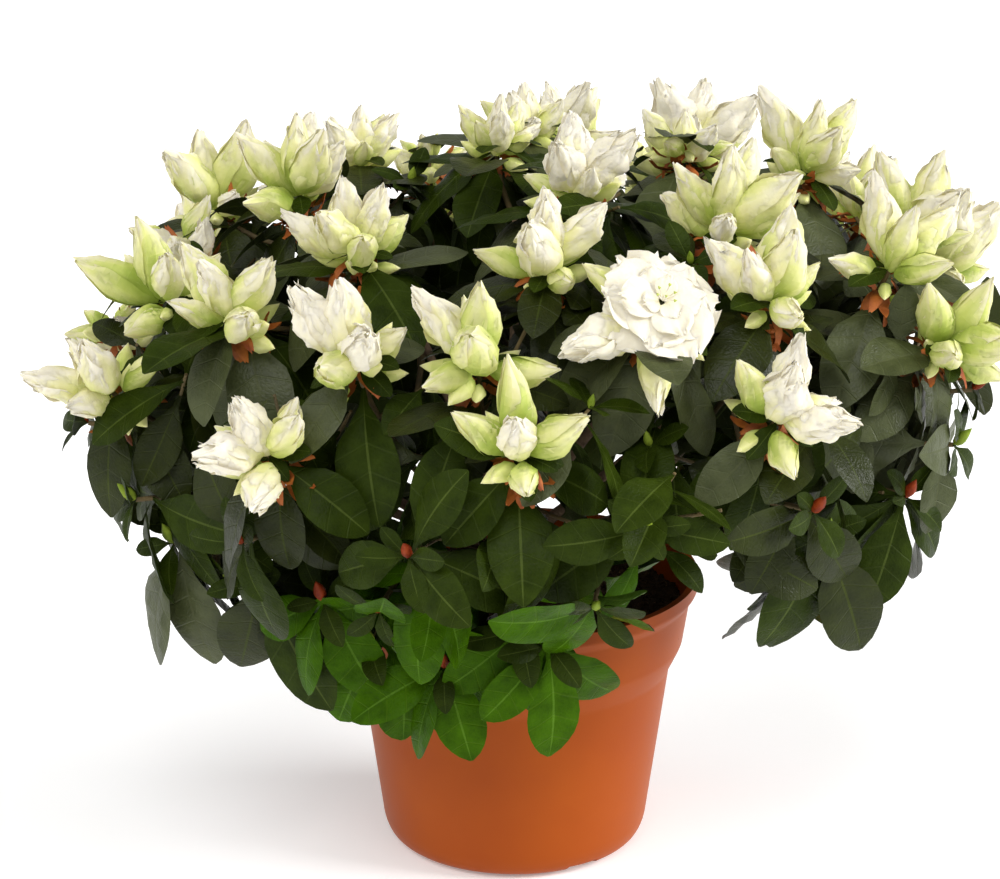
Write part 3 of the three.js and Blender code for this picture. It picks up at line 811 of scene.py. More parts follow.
def leaf_shape(key, rows=LEAF_ROWS, columns=LEAF_COLUMNS):
    """x runs from the stalk to the tip, y across and z up. Each key gives a bend and a width of its own."""
    width = LEAF_WIDTH * (0.9 + 0.22 * chance(key, 50))
    arch = math.radians(24 + 30 * chance(key, 51))
    fold = math.radians(-4 + 16 * chance(key, 52))
    twist = math.radians(spread(26, key, 53))
    widest = 1.02 + 0.22 * chance(key, 54)
    wave, phase = 0.5 + 0.7 * chance(key, 55), FULL_TURN * chance(key, 56)
    sideways = spread(0.16, key, 57)
    points = []
    for i in range(rows + 1):
        for u in columns:
            t = i / rows
            t = min(1, t + 0.11 * abs(u) * math.sin(math.pi * t))
            s = max(0, (t - 0.09) / 0.91)
            oval = math.sin(math.pi * min(0.996, s) ** widest) ** 0.66
            half = 0.5 * width * oval * min(1, 0.35 + 2.2 * s) + 0.6 * (1 - s)
            bend = arch * t
            y = u * half
            quilt = (0.6 if i % 2 else -0.3) * (1 - abs(abs(u) - 0.55) / 0.5) * math.sin(math.pi * t)
            rib = -0.5 * (abs(u) < 0.1) * math.sin(math.pi * t)
            margin = -0.9 * abs(u) ** 3 * math.sin(math.pi * min(1, s + 0.05))
            ripple = wave * math.sin(9 * t + phase + u) * u * u * math.sin(math.pi * t)
            z = abs(y) * math.tan(fold) + quilt + rib + margin + ripple + y * math.tan(twist) * t
            run = LEAF_LENGTH * (math.sin(bend) / arch)
            fall = LEAF_LENGTH * ((1 - math.cos(bend)) / arch)
            points.append(
                (run + z * math.sin(bend), y + sideways * LEAF_LENGTH * t * t, z * math.cos(bend) - fall)
            )
    n = len(columns)
    faces, bands = [], []
    for i in range(rows):
        for c in range(n - 1):
            a = i * n + c
            faces.append((a, a + n, a + n + 1, a + 1))
            bands.append(1 if c == RIB_COLUMN and n > 4 else 0)
    return points, faces, bands


def banded_mesh(name, points, faces, bands):
    """A mesh whose faces carry a number, band, by which a finish is dealt out later."""
    mesh = mesh_of(name, points, faces)
    layer = mesh.attributes.new("band", "INT", "FACE")
    layer.data.foreach_set("value", np.asarray(bands, np.int32))
    return mesh


def leaf_mesh(name, key):
    """The blade with a map on it: 0 to 1 across the blade, and 0 to 1 from stalk to tip, row by row."""
    mesh = banded_mesh(name, *leaf_shape(key))
    n = len(LEAF_COLUMNS)
    across = [(u + 1) / 2 for u in LEAF_COLUMNS]
    corner_of = np.zeros(len(mesh.loops), np.int32)
    mesh.loops.foreach_get("vertex_index", corner_of)
    blade = mesh.uv_layers.new(name="blade")
    flat = [(across[v % n], (v // n) / LEAF_ROWS) for v in corner_of]
    blade.uv.foreach_set("vector", np.array(flat, np.float32).ravel())
    return mesh


leaf_shapes = shape_collection("leaf", [leaf_mesh(f"leaf_{i}", i) for i in range(LEAF_KINDS)])
print(LEAF_KINDS, "leaf shapes of", len(leaf_shape(0)[1]), "faces")

# %% [markdown]
# ## Room to grow
# Real leaves push past each other and never pass through. Before a bud or leaf is kept, its coarse shape is
# tried against the coarse shapes of what has already grown near it. If it crosses one, it is tried again a
# little smaller, more upright and turned, and after a few tries that place stays empty. This is the frame's
# own rule, and it is what keeps a thick crown from looking like a heap of cards. Only the smallest leaves,
# the scales and the shoot tips are set without it.

# %% The thicket
MOST_SHAPES = 12000
# A leaf may pass the box of the plant by this much, in mm: at the sides, and not above or below.
OVERHANG = Vector((9, 9, 0))
REACH_LOW = np.array(cad_box[0] / MM - OVERHANG)
REACH_HIGH = np.array(cad_box[1] / MM + OVERHANG)


class Thicket:
    """The coarse shapes of all that has grown, each with its centre and its reach from there, in mm."""

    def __init__(self):
        self.trees, self.centres, self.reaches = [], np.zeros((MOST_SHAPES, 3)), np.zeros(MOST_SHAPES)

    def crosses(self, points, faces):
        middle, n = points.mean(0), len(self.trees)
        reach = np.linalg.norm(points - middle, axis=1).max()
        apart = np.linalg.norm(self.centres[:n] - middle, axis=1)
        near = np.nonzero(apart < self.reaches[:n] + reach)[0]
        if not len(near):
            return False
        tree = BVHTree.FromPolygons(points.tolist(), faces)
        return any(self.trees[i].overlap(tree) for i in near)

    def keep(self, points, faces):
        n = len(self.trees)
        self.centres[n] = points.mean(0)
        self.reaches[n] = np.linalg.norm(points - self.centres[n], axis=1).max()
        self.trees.append(BVHTree.FromPolygons(points.tolist(), faces))


def placing(along, facing):
    """Axes for a piece: x along it, and z as near to the wanted facing as it can be."""
    x = along.normalized()
    z = facing - x * facing.dot(x)
    z = z.normalized() if z.length > 1e-3 else Vector((x.z, x.x, x.y)).normalized()
    return Matrix((x, z.cross(x), z)).transposed()


def placed(points, axes, at, size=1.0):
    return np.asarray(points) @ np.array(axes).T * size + np.array(at)


# The crown is open over the right of the pot, where a patch of peat and the rim can be seen from the front.
GAP_FOOT = Vector((57, 4, 93))
GAP_RADIUS, GAP_BEHIND = 13, 20


def in_gap(points):
    apart, to_camera = points - np.array(GAP_FOOT), np.array(back)
    along = apart @ to_camera
    off = np.linalg.norm(apart - along[:, None] * to_camera, axis=1)
    return bool(((off < GAP_RADIUS) & (along > -GAP_BEHIND)).any())


def in_reach(points):
    if in_gap(points) or (points.min(0) < REACH_LOW).any() or (points.max(0) > REACH_HIGH).any():
        return False
    inside_pot = (points[:, 2] < POT_TOP + 1) & (np.hypot(points[:, 0], points[:, 1]) < LIP_RADIUS + 1)
    return not inside_pot.any()


thicket = Thicket()
THREE_SIDES = [(math.cos(a), math.sin(a)) for a in (0, 2.094, 4.189)]


def keep_stem(strand):
    points, faces = [], []
    for i, (place_mm, radius) in enumerate(strand):
        axes = placing((strand[min(i + 1, len(strand) - 1)][0] - strand[max(i - 1, 0)][0]), UP)
        points += [place_mm + axes @ Vector((0, radius * c, radius * s)) for c, s in THREE_SIDES]
        if i:
            for k in range(3):
                a, b = 3 * (i - 1) + k, 3 * (i - 1) + (k + 1) % 3
                faces.append((a, b, b + 3, a + 3))
    thicket.keep(np.array([tuple(p) for p in points]), faces)


for strand in bough_strands + twig_strands:
    keep_stem(strand[::3])
coarse_pot = turned([(0, 0), (46, 0), (55.2, 66), (65.6, 95), (65.6, 100.6), (0, 100.6)], 32)
thicket.keep(np.array(coarse_pot[0]), coarse_pot[1])
print(len(thicket.trees), "stems and the pot hold their room")

# %% [markdown]
# ## Flower buds
# The buds are the plant's show: pointed, 20 to 30 mm long, each wrapped in broad petals that overlap like a
# rolled umbrella and twist to a tip. They are lime green at the foot and turn cream to white as they open.
# A bud is built as the real one is, from sheets: a small closed core, three inner petals and four outer ones.
# Each petal is a grid of points on a spindle, one edge lifted over its neighbour, its margin ruffled.
# The colour runs through seven close tints from foot to tip. Each face is dealt the tint nearest to its
# tone, so the colour stays in place, and the tone itself, kept at each point, blends a tint into the next.

# %% Petals
BUD_LENGTH, BUD_RADIUS = 30, 6.3
BUD_SHAPES = 8
INNER_PETALS, OUTER_PETALS = 3, 4
THIRD_TURN, QUARTER_TURN = 2.094, 1.571
TONE_LIMIT = 0.999
PROFILE_AT = (0, 0.1, 0.25, 0.42, 0.6, 0.76, 0.88, 0.95, 1)
PROFILE = (0.24, 0.58, 0.94, 1.05, 0.9, 0.58, 0.3, 0.15, 0.02)
BUD_KINDS = {
    # how far the petals open, how ruffled they are, how white, and the rows and columns of a petal's grid
    "tight": (0.0, 0.6, 0.1, 10, 6),
    "cream": (0.05, 1.0, 0.27, 14, 8),
    "pale": (0.1, 1.25, 0.46, 14, 8),
    "opening": (0.2, 1.5, 0.68, 15, 10),
}
PETAL_TINTS = ("#7f9038", "#9aa64e", "#b3b96a", "#c6c684", "#cdc896", "#d2cca8", "#d6d0be")


def grid_faces(rows, columns, base=0):
    n = columns + 1
    starts = (base + i * n + c for i in range(rows) for c in range(columns))
    return [(a, a + 1, a + n + 1, a + n) for a in starts]


def bud_shape(kind, key):
    """x runs from foot to tip. Returns points, faces, and each point's tone, from 0, lime, to 1, white."""
    loose, ruffle, whiter, rows, columns = BUD_KINDS[kind]
    points, faces, tones = [], [], []
    twist = math.radians(50 + 60 * chance(key, 60))
    bow = spread(0.24, key, 61)
    slim = 0.9 + 0.22 * chance(key, 59)
    lump = FULL_TURN * chance(key, 58)
    for j in range(INNER_PETALS + OUTER_PETALS):
        inner = j < INNER_PETALS
        turn = THIRD_TURN * j + 0.5 if inner else QUARTER_TURN * (j - INNER_PETALS) + spread(0.4, key, j)
        share = 1 - 0.03 * j if inner else 1.0 - 0.2 * chance(key, j, 62)
        wide = BUD_RADIUS * slim * (0.9 if inner else 1.0)
        phase = FULL_TURN * chance(key, j, 63)
        open_by = loose * (0.15 if inner else 0.3 + 1.1 * chance(key, j, 64))
        base = len(points)
        for i in range(rows + 1):
            v = i / rows
            half_span = math.radians(78) * (1 if inner else 1 - 0.8 * v**6)
            for c in range(columns + 1):
                u = 2 * c / columns - 1
                t = share * (v - 0.05 * u * u * v * (1 - v**4))
                r = wide * (float(np.interp(t, PROFILE_AT, PROFILE)) + 0.045 * u)
                full = min(1, r / BUD_RADIUS)
                r += wide * open_by * v**2.2 * (0.45 + 0.55 * u * u)
                r += 0.42 * ruffle * full * math.sin(11 * v + 3 * u + phase)
                r += 0.35 * ruffle * full * math.sin(5 * v - 6 * u + 2 * phase)
                r += 0.22 * ruffle * full * math.sin(21 * v + 7 * u * (1 - v) + 3 * phase) * v
                r += ruffle * max(0.0, u) ** 3 * v * (0.35 + 0.35 * math.sin(15 * v + phase))
                r += spread(0.7 * ruffle, key + 0.1 * j, i, c) * full * v
                a = turn + twist * v + u * half_span + 0.05 * ruffle * math.sin(17 * v + phase) * abs(u)
                r *= 1 + 0.09 * math.sin(2 * a + 5 * v + lump) + 0.05 * math.sin(3 * a - 9 * v + lump)
                ragged = 0 if inner and i == rows else v**3
                x = BUD_LENGTH * t + spread(2.6 * ruffle, key + 0.1 * j, i + 20, c) * ragged
                side = bow * x * x / BUD_LENGTH
                points.append((x, max(0.1, r) * math.cos(a) + side, max(0.1, r) * math.sin(a)))
                streak = 0.14 * math.sin(4.1 * u + 4 * v + 2 * phase) + spread(0.12, key, 10 * j + i, c)
                tone = whiter + 0.74 * t - 0.16 + 0.26 * v * u * u + streak
                tones.append(max(0.0, min(TONE_LIMIT, tone)))
        faces += grid_faces(rows, columns, base)
    shares = PROFILE_AT[1:7:2]
    core_profile = [(0.76 * BUD_RADIUS * w, 0.94 * BUD_LENGTH * t) for t, w in zip(shares, PROFILE[1:7:2])]
    base, (core, core_faces) = len(points), turned([(0, 0), *core_profile, (0, 0.9 * BUD_LENGTH)], 6)
    points += [(z, x + bow * z * z / BUD_LENGTH, y) for x, y, z in core]
    faces += [tuple(base + i for i in f) for f in core_faces]
    tones += [min(0.95, 0.35 + whiter)] * len(core)
    return points, faces, tones


def small_bud_shape(key):
    """A bud that is still closed: one spindle with four shallow folds, green at the foot."""
    shares = (0.1, 0.27, 0.46, 0.7, 0.88)
    profile = [(BUD_RADIUS * float(np.interp(t, PROFILE_AT, PROFILE)), BUD_LENGTH * t) for t in shares]
    ring, faces = turned([(0, 0), *profile, (0, BUD_LENGTH)], 8)
    points, tones = [], []
    for x, y, z in ring:
        v = z / BUD_LENGTH
        folds = 1 + 0.1 * math.sin(4 * math.atan2(y, x) + 3 * v + 6 * chance(key, 66))
        points.append((z, x * folds + spread(0.3, key, z, x), y * folds))
        tones.append(max(0.0, min(TONE_LIMIT, 0.12 + 0.5 * v + spread(0.3, key, z, y))))
    return points, faces, tones


def toned_mesh(name, points, faces, tones):
    """A mesh whose points carry a tone, and whose faces carry the number of the tint nearest to it."""
    bands = [int(len(PETAL_TINTS) * sum(tones[i] for i in f) / len(f)) for f in faces]
    mesh = banded_mesh(name, points, faces, bands)
    layer = mesh.attributes.new("tone", "FLOAT", "POINT")
    layer.data.foreach_set("value", np.asarray(tones, np.float32))
    return mesh


bud_shapes = {}
for n, kind in enumerate(BUD_KINDS):
    made = [toned_mesh(f"bud_{kind}_{i}", *bud_shape(kind, 10 * n + i)) for i in range(BUD_SHAPES)]
    bud_shapes[kind] = shape_collection("bud_" + kind, made)
made = [toned_mesh(f"bud_small_{i}", *small_bud_shape(i)) for i in range(5)]
bud_shapes["small"] = shape_collection("bud_small", made)
for kind in BUD_KINDS:
    print(kind, "bud:", len(bud_shape(kind, 0)[1]), "faces")

# %% [markdown]
# A truss is a shoot's cluster of buds: one nearly upright, the rest leaning out round it, and small green
# ones that will open last. Most trusses are cream, a few are opening white, and some are still tight. A few
# at the back and the sides are smaller and stand lower, so the crown's outline is uneven.

# %% Set the trusses
# Bearing and rise of the trusses that are whitest, and of those that are still tight.
WHITEST = ((-29, 42), (-36, 18), (27, 8), (14, 78))
TIGHTEST = ((-33, 0), (-7, 36), (-8, 17), (8, 15), (72, 12))
GROWN = (
    # bearing, rise, size of the truss; a smaller one stands lower on its twig
    (-132, 57, 0.8), (183, 57, 0.74), (-141, 36, 0.74), (-158, 74, 0.74), (138, 57, 0.74), (-96, 36, 0.72),
    (-164, 36, 0.72), (129, 36, 0.84), (107, 36, 0.84), (-98, 13, 0.66),
)
SET_BACK = 0.5
LOWER_BUDS, CLOSED_BUDS = 3, 6
trusses = [s for s in SHOOTS if s["tier"]["buds"]]


def nearest_truss(bearing, rise):
    want = heading(bearing, rise)
    return max(trusses, key=lambda s: heading(s["bearing"], s["rise"]).dot(want))


for shoot in trusses:
    luck = chance(shoot["key"], 70)
    shoot["grown"], shoot["stage"] = 1.0, "cream"
    if abs(shoot["bearing"]) > 75:
        shoot["stage"] = "opening" if luck < 0.2 else "tight" if luck > 0.85 else "cream"
for where in TIGHTEST:
    nearest_truss(*where)["stage"] = "tight"
for where in WHITEST:
    nearest_truss(*where)["stage"] = "opening"
for *where, size in GROWN:
    nearest_truss(*where)["grown"] = size

COARSE_BUD, COARSE_BUD_FACES = turned([(0, 0), (6.2, 11), (5, 20), (0, 29)], 5)
COARSE_BUD = np.array([(z, x, y) for x, y, z in COARSE_BUD])
buds = {kind: [] for kind in bud_shapes}


def try_bud(kind, at, toward, size, key, start=0.38):
    axes = placing(toward, UP)
    rest = COARSE_BUD * np.array((1 - start, 0.92, 0.92)) + np.array((BUD_LENGTH * start, 0, 0))
    points = placed(rest, axes, at, size)
    if not in_reach(points) or thicket.crosses(points, COARSE_BUD_FACES):
        return False
    thicket.keep(points, COARSE_BUD_FACES)
    turn = Quaternion(axes.col[0], FULL_TURN * chance(key, 71)) @ axes.to_quaternion()
    buds[kind].append((at, turn, size, int(97 * chance(key, 72))))
    return True


def set_truss(shoot):
    """The rule's buds first, then smaller ones in a lower storey, then the least, which are still closed."""
    key, axis, stage = shoot["key"], shoot["axis"], shoot["stage"]
    first_turn = 360 * chance(key, 10)
    count = shoot["tier"]["buds"]
    for k in range(count):
        size = (1.08 - 0.24 * chance(key, k, 8)) * shoot["grown"]
        kind = stage if chance(key, k, 73) < 0.8 else "cream"
        if kind == "cream" and chance(key, k, 68) < 0.5:
            kind = "pale"
        for attempt in range(3):
            tilt = (48 + spread(20, key, k, 9) if k else 7) * (1 - 0.15 * attempt)
            toward = around(axis, tilt, 120 * k + first_turn + spread(40, key, k, 12))
            toward = (toward + UP * 0.3).normalized()
            foot = along_bend(shoot["twig"], 0.985 - SET_BACK * (1 - shoot["grown"]))
            at = foot + toward * (3.5 if k else 1)
            if try_bud(kind, at, toward, size, key + 0.01 * k, 0.3):
                break
    for k in range(count, count + LOWER_BUDS):
        size = (0.9 - 0.34 * chance(key, k, 8)) * shoot["grown"]
        kind = ("cream" if k % 2 else "pale") if chance(key, k, 74) < 0.6 and stage != "tight" else "tight"
        for attempt in range(6):
            turn = first_turn + 60 + 120 * k + 31 * attempt
            toward = around(axis, 44 + 40 * chance(key, k, 9 + attempt), turn)
            at = shoot["tip"] - axis * (3 + 1.5 * attempt) + toward * 4
            if try_bud(kind, at, toward, size * (1 - 0.07 * attempt), key + 0.01 * k, 0.34):
                break
    for k in range(CLOSED_BUDS):
        size = 0.32 + 0.24 * chance(key, k, 75)
        for attempt in range(5):
            toward = around(axis, 50 + 55 * chance(key, k, 76 + attempt), 360 * chance(key, k, 78 + attempt))
            at = shoot["tip"] - axis * (3 + 5 * chance(key, k, 77)) + toward * 4
            if try_bud("small", at, toward, size, key + 0.03 * k, 0.3):
                break

# %% [markdown]
# ## The open flower
# One double flower has opened: seventeen petals in four rings, the outer ones nearly flat and about 18 mm
# long, the inner ones shorter and more upright, all softly frilled. Ruffles are waves whose height grows
# towards the margin. The six anthers are green, by a low tone, and the heart is a little creamier.

# %% Petals of the open flower
FLOWER_RINGS = (
    # petals, length, width, tilt from the axis, height of the foot
    (5, 18.5, 22.0, 91, 0.0),
    (5, 17.0, 18.0, 84, 0.8),
    (4, 12.5, 12.0, 76, 1.5),
    (3, 7.0, 6.5, 58, 2.1),
)
STAMENS, ANTHER_FROM = 6, 3
STAMEN_PROFILE = ((0, 0.3), (0.4, 0.25), (0.86, 0.22), (0.9, 0.6), (0.97, 0.6), (1, 0.1))


def flower_shape():
    points, faces, tones = [], [], []
    rows, columns = 10, 14
    for ring_number, (count, long, wide, tilt, foot) in enumerate(FLOWER_RINGS):
        for j in range(count):
            key = 900 + 20 * ring_number + j
            turn = 6.283 * (j + 0.5 * (ring_number % 2)) / count + spread(0.5, key, 1)
            lean = math.radians(tilt + spread(20, key, 2))
            length = long * (0.84 + 0.28 * chance(key, 3))
            phase = FULL_TURN * chance(key, 4)
            cup = math.radians(spread(12, key, 5))
            base = len(points)
            for i in range(rows + 1):
                v = i / rows
                half = 0.5 * wide * (0.22 + 0.95 * math.sin(math.pi * min(0.93, 0.12 + 0.72 * v)))
                half *= 1 - 0.4 * max(0, v - 0.85) / 0.15
                for c in range(columns + 1):
                    u = 2 * c / columns - 1
                    frill = (0.3 + 1.7 * max(v - 0.25, 0)) * (0.3 + 0.7 * abs(u)) * length / 20
                    waves = math.sin(4.4 * u + 5 * v + phase) + 0.7 * v * v * math.sin(9 * u + 2 * phase)
                    crimp = math.sin(15 * u + 3 * phase) + 0.7 * math.sin(10 * u - 7 * v)
                    lift = frill * waves + crimp * v**4 * length / 20
                    out = length * v * (1 - 0.1 * u * u)
                    notch = math.sin(6.5 * u + phase) + 0.7 * math.sin(15 * u + 2 * phase)
                    out += 0.045 * length * notch * v**4
                    side = u * half
                    up = abs(side) * math.tan(cup) * (1 - 0.6 * v) + lift - 1.2 * v * v * (tilt / 60)
                    radial = 1.2 + out * math.sin(lean) - up * math.cos(lean)
                    height = foot + out * math.cos(lean) + up * math.sin(lean)
                    sin, cos = math.sin(turn), math.cos(turn)
                    points.append((height, radial * cos - side * sin, radial * sin + side * cos))
            faces += [f[::-1] for f in grid_faces(rows, columns, base)]
            heart = 0.3 if ring_number > 2 else 0.1
            for i in range(rows + 1):
                tones += [min(TONE_LIMIT, 1.08 - heart * (1 - i / rows) ** 2)] * (columns + 1)
    for j in range(STAMENS):
        toward = around(Vector((1, 0, 0)), 10 + 30 * chance(j, 120), 360 / STAMENS * j)
        length, base = 5 + 3 * chance(j, 121), len(points)
        for i, (share, radius) in enumerate(STAMEN_PROFILE):
            at = toward * (length * share)
            points += [(at.x + 2, at.y + radius * c, at.z + radius * s) for c, s in THREE_SIDES]
            tones += [0.95 if i < ANTHER_FROM else 0.2] * 3
        for low in range(base, len(points) - 3, 3):
            faces += [(low + a, low + b, low + b + 3, low + a + 3) for a, b in ((0, 1), (1, 2), (2, 0))]
    return points, faces, tones


flower_mesh = toned_mesh("flower", *flower_shape())
print("open flower:", len(flower_mesh.polygons), "faces")

# %% [markdown]
# ## Papery scales and shoot tips
# Round the foot of every truss hang the bud scales, thin rust-brown papers that have already split open.
# Leafy shoots, and a few side shoots, end in a small closed bud of red-brown or green scales, set in a few
# half-grown leaves.

# %% Scale shapes
def scale_shape(key):
    points = []
    curl = 0.6 + 1.1 * chance(key, 80)
    for i in range(5):
        v = i / 4
        half = 2.1 * math.sin(math.pi * (0.2 + 0.75 * v)) ** 0.8
        for u in (-1, 0, 1):
            bend = curl * v * v * 4
            z = bend - 0.8 * (1 - abs(u)) + spread(0.8, key, i, u + 2)
            points.append((11 * v - bend * 0.4, u * half, z))
    return points, grid_faces(4, 2), [0] * 8


scale_shapes = shape_collection("scale", [banded_mesh(f"scale_{i}", *scale_shape(i)) for i in range(5)])

# %% [markdown]
# ## Setting everything in place
# The order matters: stems hold their room first, then the flower and buds, which are what the eye looks
# for, and then leaves, which fill what is left. First every shoot gets the whorl that the frame's rule gives
# it, then side shoots get whorls of their own, older leaves fill the inside of the crown, and small leaves
# stand among the buds.

# %% Buds, flower, leaves
COARSE_LEAF_COLUMNS = (-1, 0, 1)
coarse_leaves = []
for k in range(LEAF_KINDS):
    rough_points, rough_faces, _ = leaf_shape(k, 5, COARSE_LEAF_COLUMNS)
    # The row at the stalk may touch the twig, so it takes no room.
    coarse_leaves.append((np.array(rough_points), [f for f in rough_faces if min(f) >= 3]))

bloom_shoot = next(s for s in SHOOTS if s["open"])
bloom_axis = (heading(bloom_shoot["bearing"], 34) + bloom_shoot["axis"] * 0.25).normalized()
bloom_axes = placing(bloom_axis, UP)
bloom_at = bloom_shoot["tip"] + bloom_axis * 5 + UP * 6
coarse_bloom = turned([(0, -3), (17, -1.5), (17, 5), (0, 8)], 12)
bloom_room = placed([(z, x, y) for x, y, z in coarse_bloom[0]], bloom_axes, bloom_at)
thicket.keep(bloom_room, coarse_bloom[1])
BLOOM_BUDS = (
    # tilt from the flower's axis, turn about it, kind, size
    (85, 18, "opening", 0.98), (88, 80, "cream", 0.9), (88, 128, "small", 0.5), (82, 318, "tight", 0.7),
)
for tilt, turn, kind, size in BLOOM_BUDS:
    toward = around(bloom_axis, tilt, turn)
    kept = try_bud(kind, bloom_at - bloom_axis * 10 + toward * 7, toward, size, 7.7 + turn, 0.5)
    print("bud beside the flower:", kind, kept)
for shoot in trusses:
    if not shoot["open"]:
        set_truss(shoot)
print("buds:", {kind: len(found) for kind, found in buds.items()})

leaves = {tint: [] for tint in ("dark", "mid", "grey", "young")}


def spray_tint(shoot, k):
    """Most sprays are dark, some greyer or fresher, and the low ones before the pot are bright green."""
    bearing, rise = shoot["bearing"], shoot["rise"]
    own_luck = chance(shoot["key"], k, 91)
    luck = chance(int(shoot["key"]), 90) * 0.75 + 0.25 * own_luck
    # Painted sheen: the grey tint is paler than the others and stands partly for the lamps' sheen on the
    # hairy leaves. It goes to most sprays on the right, where the strong right lamp falls, to some elsewhere,
    # and never to the front sprays below the crown's middle, which get only the dark and mid tints.
    if rise < LOW and -44 < bearing < 30:
        return "young" if own_luck < 0.85 else "mid"
    if rise < 10 and abs(bearing) < 42:
        limits = {"mid": 0.66, "dark": 1}
    elif 38 < bearing < 130 and rise < -15:
        limits = {"mid": 0.6, "dark": 0.85, "grey": 1}
    elif 38 < bearing < 130:
        limits = {"grey": 0.64, "dark": 0.84, "mid": 1}
    else:
        dark, mid = (0.4, 0.78) if rise < 0 else (0.52, 0.74)
        limits = {"dark": dark, "mid": mid, "grey": 0.97, "young": 1}
    return next(tint for tint, limit in limits.items() if luck < limit)


FRONT_FROM, FRONT_HALF, FRONT_TOP = -50, 72, 134
TOP_RISE = 25


def hides_low_front(points):
    """The low sprays over the front of the pot stay in view: leaves from higher up end above them."""
    x, y, z = points.T
    return bool(((y < FRONT_FROM) & (abs(x) < FRONT_HALF) & (z < FRONT_TOP)).any())


def try_leaf(shoot, k, at, along, facing, size, tint):
    pick = int(LEAF_KINDS * chance(shoot["key"], k, 92)) % LEAF_KINDS
    axes = placing(along, facing)
    rough_points, rough_faces = coarse_leaves[pick]
    points = placed(rough_points, axes, at, size)
    if shoot["rise"] > LOW and hides_low_front(points):
        return False
    if not in_reach(points[3:]) or thicket.crosses(points, rough_faces):
        return False
    thicket.keep(points, rough_faces)
    leaves[tint].append((at, axes.to_quaternion(), size, pick))
    return True


def set_whorl(shoot, count, droop, first=0, largest=1.04, start=0.965, step=0.035):
    for k in range(first, first + count):
        size = largest - 0.26 * chance(shoot["key"], k, 5)
        for attempt in range(5):
            tilt = 90 + 6 * k + spread(16, shoot["key"], k) - 10 * attempt
            turn = GOLDEN_ANGLE * k + 360 * chance(shoot["key"], 6) + 17 * attempt
            along = around(shoot["axis"], tilt, turn)
            along.z -= droop
            at = along_bend(shoot["twig"], start - step * k)
            facing = Quaternion(UP, math.radians(spread(90, shoot["key"], k, 13))) @ shoot["axis"]
            if try_leaf(shoot, k, at, along, facing, size * (1 - 0.07 * attempt), spray_tint(shoot, k)):
                break


def droop_of(shoot):
    """Over the front of the pot the crown is lifted a little, and its leaves reach forward, not down."""
    lifted = -20 < shoot["rise"] < 0 and abs(shoot["bearing"]) < 48
    return 0.1 if lifted else shoot["tier"]["droop"]


def fill_inside(shoot, count, standing=False):
    """Older leaves lower on the twig close the crown. Level ones close it from above. Standing ones close it
    from the side, and are given the dark tints as painted shade of the crown's inside."""
    key = shoot["key"]
    facing = shoot["axis"] if standing else UP
    for k in range(40, 40 + count):
        for attempt in range(4):
            at = along_bend(shoot["twig"], 0.4 + 0.45 * chance(key, k, 14 + attempt))
            turn, lift = 360 * chance(key, k, 24 + attempt), 12 + spread(40, key, k, 34)
            along = around(facing, 90 - lift, turn) if standing else heading(turn, lift)
            # Painted shade: the standing leaves inside the crown take only the dark and mid tints.
            tint = ("dark" if chance(key, k, 93) < 0.6 else "mid") if standing else spray_tint(shoot, k)
            if try_leaf(shoot, k, at, along, facing, 1.02 - 0.2 * chance(key, k, 5), tint):
                break


def hangs(shoot):
    return shoot["key"] >= FIRST_HANGING_KEY or (shoot["rise"] < -42 and -42 < shoot["bearing"] < 30)


for shoot in filter(hangs, SHOOTS):
    # These hang before the pot, turned to the light: their whorls open outwards and their leaves droop.
    shoot["axis"] = heading(0.7 * shoot["bearing"], 28)
    set_whorl(shoot, 9, 0.9, largest=1.14, start=0.995, step=0.02)
for shoot in SHOOTS:
    if not hangs(shoot):
        set_whorl(shoot, shoot["tier"]["leaves"], droop_of(shoot))
for shoot in SHOOTS:
    for side in shoot["sides"]:
        side["bearing"], side["rise"] = shoot["bearing"], shoot["rise"]
        set_whorl(side, 6, droop_of(shoot), largest=0.92, start=0.98, step=0.07)
for shoot in SHOOTS:
    set_whorl(shoot, 5, droop_of(shoot) + 0.15, first=shoot["tier"]["leaves"], largest=0.98)
for shoot in SHOOTS:
    if shoot["rise"] > TOP_RISE:
        fill_inside(shoot, 10)
    elif not hangs(shoot):
        fill_inside(shoot, 6, standing=True)
print("leaves:", {tint: len(found) for tint, found in leaves.items()})

# %% Small leaves, scales and shoot tips
SMALL_PER_SHOOT, SCALES_PER_TRUSS = 4, 20
BARE_SIDES = 0.93
small_leaves, scales, tips = [], [], {"red": [], "green": []}
for shoot in trusses:
    key, axis, tip = shoot["key"], shoot["axis"], shoot["tip"]
    for k in range(SMALL_PER_SHOOT):
        along = around(axis, 62 + 40 * chance(key, k, 100), 360 * chance(key, k, 101))
        turn = placing(along, axis).to_quaternion()
        small_leaves.append((tip, turn, 0.26 + 0.2 * chance(key, k, 102), k))
    for k in range(SCALES_PER_TRUSS):
        along = around(axis, 70 + 70 * chance(key, k, 103), 360 * chance(key, k, 104))
        at = tip - axis * (1 + 9 * chance(key, k, 105)) + along * (2 + 4 * chance(key, k, 99))
        turn = placing(along, -axis if k % 2 else axis).to_quaternion()
        scales.append((at, turn, 0.6 + 0.6 * chance(key, k, 106), k))
leafy = [s for s in SHOOTS if not s["tier"]["buds"]] + [side for s in SHOOTS for side in s["sides"]]
